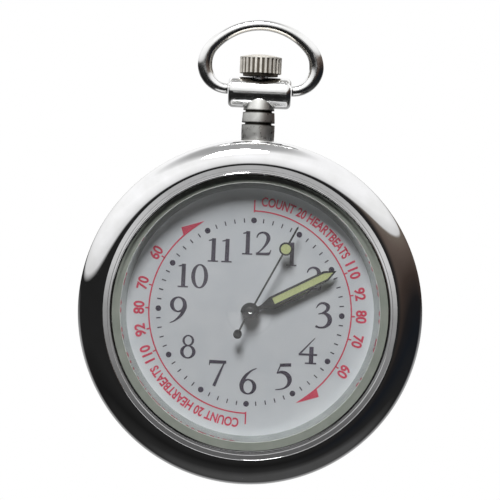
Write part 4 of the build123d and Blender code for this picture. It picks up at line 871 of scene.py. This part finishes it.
def bow_wire():
    """Oval wire that is slimmest at the top and stoutest at its sides, with turned-in ends."""
    shoulder = barrel_high.x / MM + BOW_GAP
    wire = bow_high.y / MM
    half_width = bow_high.x / MM - BOW_SIDE_HALF
    pivot = bow_low.z / MM + wire
    rise_top = bow_high.z / MM - BOW_TOP_HALF - pivot
    low_radius = half_width - shoulder
    rise = rise_top - low_radius
    side_radius = BOW_SIDE_RADIUS
    top_radius = (half_width**2 + rise**2 - 2 * half_width * side_radius) / (2 * (rise - side_radius))
    side_centre = (half_width - side_radius, low_radius)
    lean = math.degrees(math.atan2(low_radius - (rise_top - top_radius), side_centre[0]))
    right = arc_points((shoulder, low_radius), low_radius, -90, 0, 18)
    right += arc_points(side_centre, side_radius, 0, lean, 24)
    right += arc_points((0, rise_top - top_radius), top_radius, lean, 90, 24)
    line = right + [(0, rise_top)] + [(-x, z) for x, z in reversed(right)]
    around = BOW_WIRE_SIDES
    vertices, faces = [], []
    for i, (x, z) in enumerate(line):
        before, after = line[max(i - 1, 0)], line[min(i + 1, len(line) - 1)]
        along = Vector((after[0] - before[0], 0, after[1] - before[1])).normalized()
        if i in (0, len(line) - 1):
            along = Vector((1, 0, 0))
        side = Vector((0, 1, 0)).cross(along)
        height = min(max(z / rise_top, 0), 1)
        if height < BOW_STOUTEST:
            base = BOW_END_HALF
            swell = math.sin(math.pi * min(height / (2 * BOW_STOUTEST), 1))
        else:
            base = BOW_TOP_HALF
            swell = 1 - (height - BOW_STOUTEST) / (1 - BOW_STOUTEST)
        half = base + (BOW_SIDE_HALF - base) * max(swell, 0) ** BOW_TAPER
        for k in range(around):
            turn = math.tau * k / around
            offset = side * (half * math.cos(turn)) + Vector((0, BOW_DEPTH_HALF * math.sin(turn), 0))
            vertices.append(Vector((x + offset.x, offset.y, z + pivot + offset.z)) * MM)
    for i in range(len(line) - 1):
        for k in range(around):
            n = (k + 1) % around
            faces.append((i * around + k, i * around + n, (i + 1) * around + n, (i + 1) * around + k))
    faces.append(tuple(range(around))[::-1])
    faces.append(tuple((len(line) - 1) * around + k for k in range(around)))
    piece = new_piece("bow_wire", vertices, faces, SOFT_CHROME, "bow")
    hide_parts("bow")
    return piece


# ---- room ----------------------------------------------------------------------------------------
def studio_world():
    """White to the camera, reflections and glass, and a faint even light on everything else."""
    world = bpy.data.worlds.new("studio")
    bpy.context.scene.world = world
    world.use_nodes = True
    tree = world.node_tree
    light = tree.nodes["Background"]
    light.inputs["Color"].default_value = (1, 1, 1, 1)
    rays = tree.nodes.new("ShaderNodeLightPath").outputs
    seen = rays["Is Camera Ray"]
    for kind in ("Is Glossy Ray", "Is Transmission Ray"):
        either = tree.nodes.new("ShaderNodeMath")
        either.operation = "MAXIMUM"
        tree.links.new(seen, either.inputs[0])
        tree.links.new(rays[kind], either.inputs[1])
        seen = either.outputs["Value"]
    strength = tree.nodes.new("ShaderNodeMapRange")
    strength.inputs["To Min"].default_value = WORLD_LIGHT
    strength.inputs["To Max"].default_value = 1.0
    tree.links.new(seen, strength.inputs["Value"])
    tree.links.new(strength.outputs["Result"], light.inputs["Strength"])


def stage_mesh(name, vertices, faces, material):
    mesh = bpy.data.meshes.new(name)
    mesh.from_pydata(vertices, [], faces)
    mesh.materials.append(material)
    made = bpy.data.objects.new(name, mesh)
    bpy.context.scene.collection.objects.link(made)
    return made


def room_material():
    """What the polished metal mirrors, by direction from the watch: a dark room below, a bright
    window above, a grey ceiling, and a small lit patch in front of the dial."""
    made = Nodes("room")
    made.tree.nodes.remove(made.shader)
    unit = made.vector("NORMALIZE", made.place)
    across, away, up = made.axes(unit)
    slant = made.maths("MULTIPLY_ADD", made.maths("MAXIMUM", across, 0.0), -ROOM_SLANT, up)
    left = made.ramp(slant, -1, 1, ROOM_LEFT)
    right = made.ramp(slant, -1, 1, ROOM_RIGHT)
    sides = made.blend(made.span(across, 0, 1, *ROOM_SEAM), left, right)
    behind = made.maths("MULTIPLY", made.span(away, 0, 1, *BEHIND_AWAY), made.span(up, 1, 0, *BEHIND_UP))
    around = made.blend(behind, sides, (ROOM_BEHIND, ROOM_BEHIND, ROOM_BEHIND, 1))
    drop = math.radians(CAMERA_DROP)
    toward = made.vector("DOT_PRODUCT", unit, (0, -math.cos(drop), -math.sin(drop)))
    starts, full = (math.cos(math.radians(angle)) for angle in CAMERA_PATCH)
    near = made.ramp(up, *CAMERA_HEIGHTS, ROOM_CAMERA)
    whole = made.blend(made.span(toward, 0, 1, starts, full), around, near)
    glow = made.add("ShaderNodeEmission")
    made.link(whole, glow.inputs["Color"])
    made.link(glow.outputs["Emission"], made.tree.nodes["Material Output"].inputs["Surface"])
    return made.material


def room():
    """Sphere round the watch that only reflections see."""
    rings, sectors = 24, 48
    vertices = []
    for i in range(rings + 1):
        tilt = math.pi * (i + 0.02) / (rings + 0.04)
        for k in range(sectors):
            turn = math.tau * k / sectors
            way = Vector((math.sin(tilt) * math.cos(turn), math.sin(tilt) * math.sin(turn), math.cos(tilt)))
            vertices.append(way * ROOM_RADIUS)
    faces = [
        (i * sectors + k, i * sectors + (k + 1) % sectors, (i + 1) * sectors + (k + 1) % sectors,
         (i + 1) * sectors + k)
        for i in range(rings)
        for k in range(sectors)
    ]
    sphere = stage_mesh("room", vertices, faces, room_material())
    sphere.location = CENTRE
    sphere.visible_camera = False
    sphere.visible_diffuse = False
    sphere.visible_shadow = False
    sphere.visible_transmission = False


def studio():
    studio_world()
    floor = solid("floor", srgb(246, 246, 246), srgb(242, 242, 242), (0.7, 0.8), 2 * MM, 0.01 * MM)
    z = cad_box[0].z - FLOOR_DROP
    quarters = ((-1, -1), (1, -1), (1, 1), (-1, 1))
    corners = [(FLOOR_REACH * x, FLOOR_REACH * y, z) for x, y in quarters]
    made = stage_mesh("floor", corners, [(0, 1, 2, 3)], floor)
    made.visible_glossy = False
    made.visible_diffuse = False
    room()


def area_lamp(name, place, size, power, mirrored):
    lamp = bpy.data.lights.new(name, "AREA")
    lamp.shape = "DISK"
    lamp.size = size
    lamp.energy = power
    made = bpy.data.objects.new(name, lamp)
    made.location = CENTRE + Vector(place)
    made.rotation_euler = (CENTRE - made.location).to_track_quat("-Z", "Y").to_euler()
    made.visible_glossy = mirrored
    bpy.context.scene.collection.objects.link(made)


def camera():
    data = bpy.data.cameras.new("camera")
    data.sensor_width = SENSOR
    data.lens = SENSOR * VIEW_DISTANCE / VIEW_WIDTH
    data.clip_start = 0.01
    made = bpy.data.objects.new("camera", data)
    bpy.context.scene.collection.objects.link(made)
    upright = Matrix.Rotation(math.radians(90), 4, "X")
    place = Matrix.Translation(CENTRE + VIEW_AIM - Vector((0, VIEW_DISTANCE, 0)))
    made.matrix_world = place @ Matrix.Rotation(-VIEW_TURN, 4, "Y") @ upright
    bpy.context.scene.camera = made


# ---- the scene -----------------------------------------------------------------------------------
paint_cad_nodes()
hour_numerals()
minute_track()
pulse_scale(0)
pulse_scale(180)
bezel_ring()
hub_cap()
bow_wire()
studio()
area_lamp("key", **KEY_LAMP)
area_lamp("fill", **FILL_LAMP)
camera()
bpy.context.scene.view_settings.view_transform = "Standard"
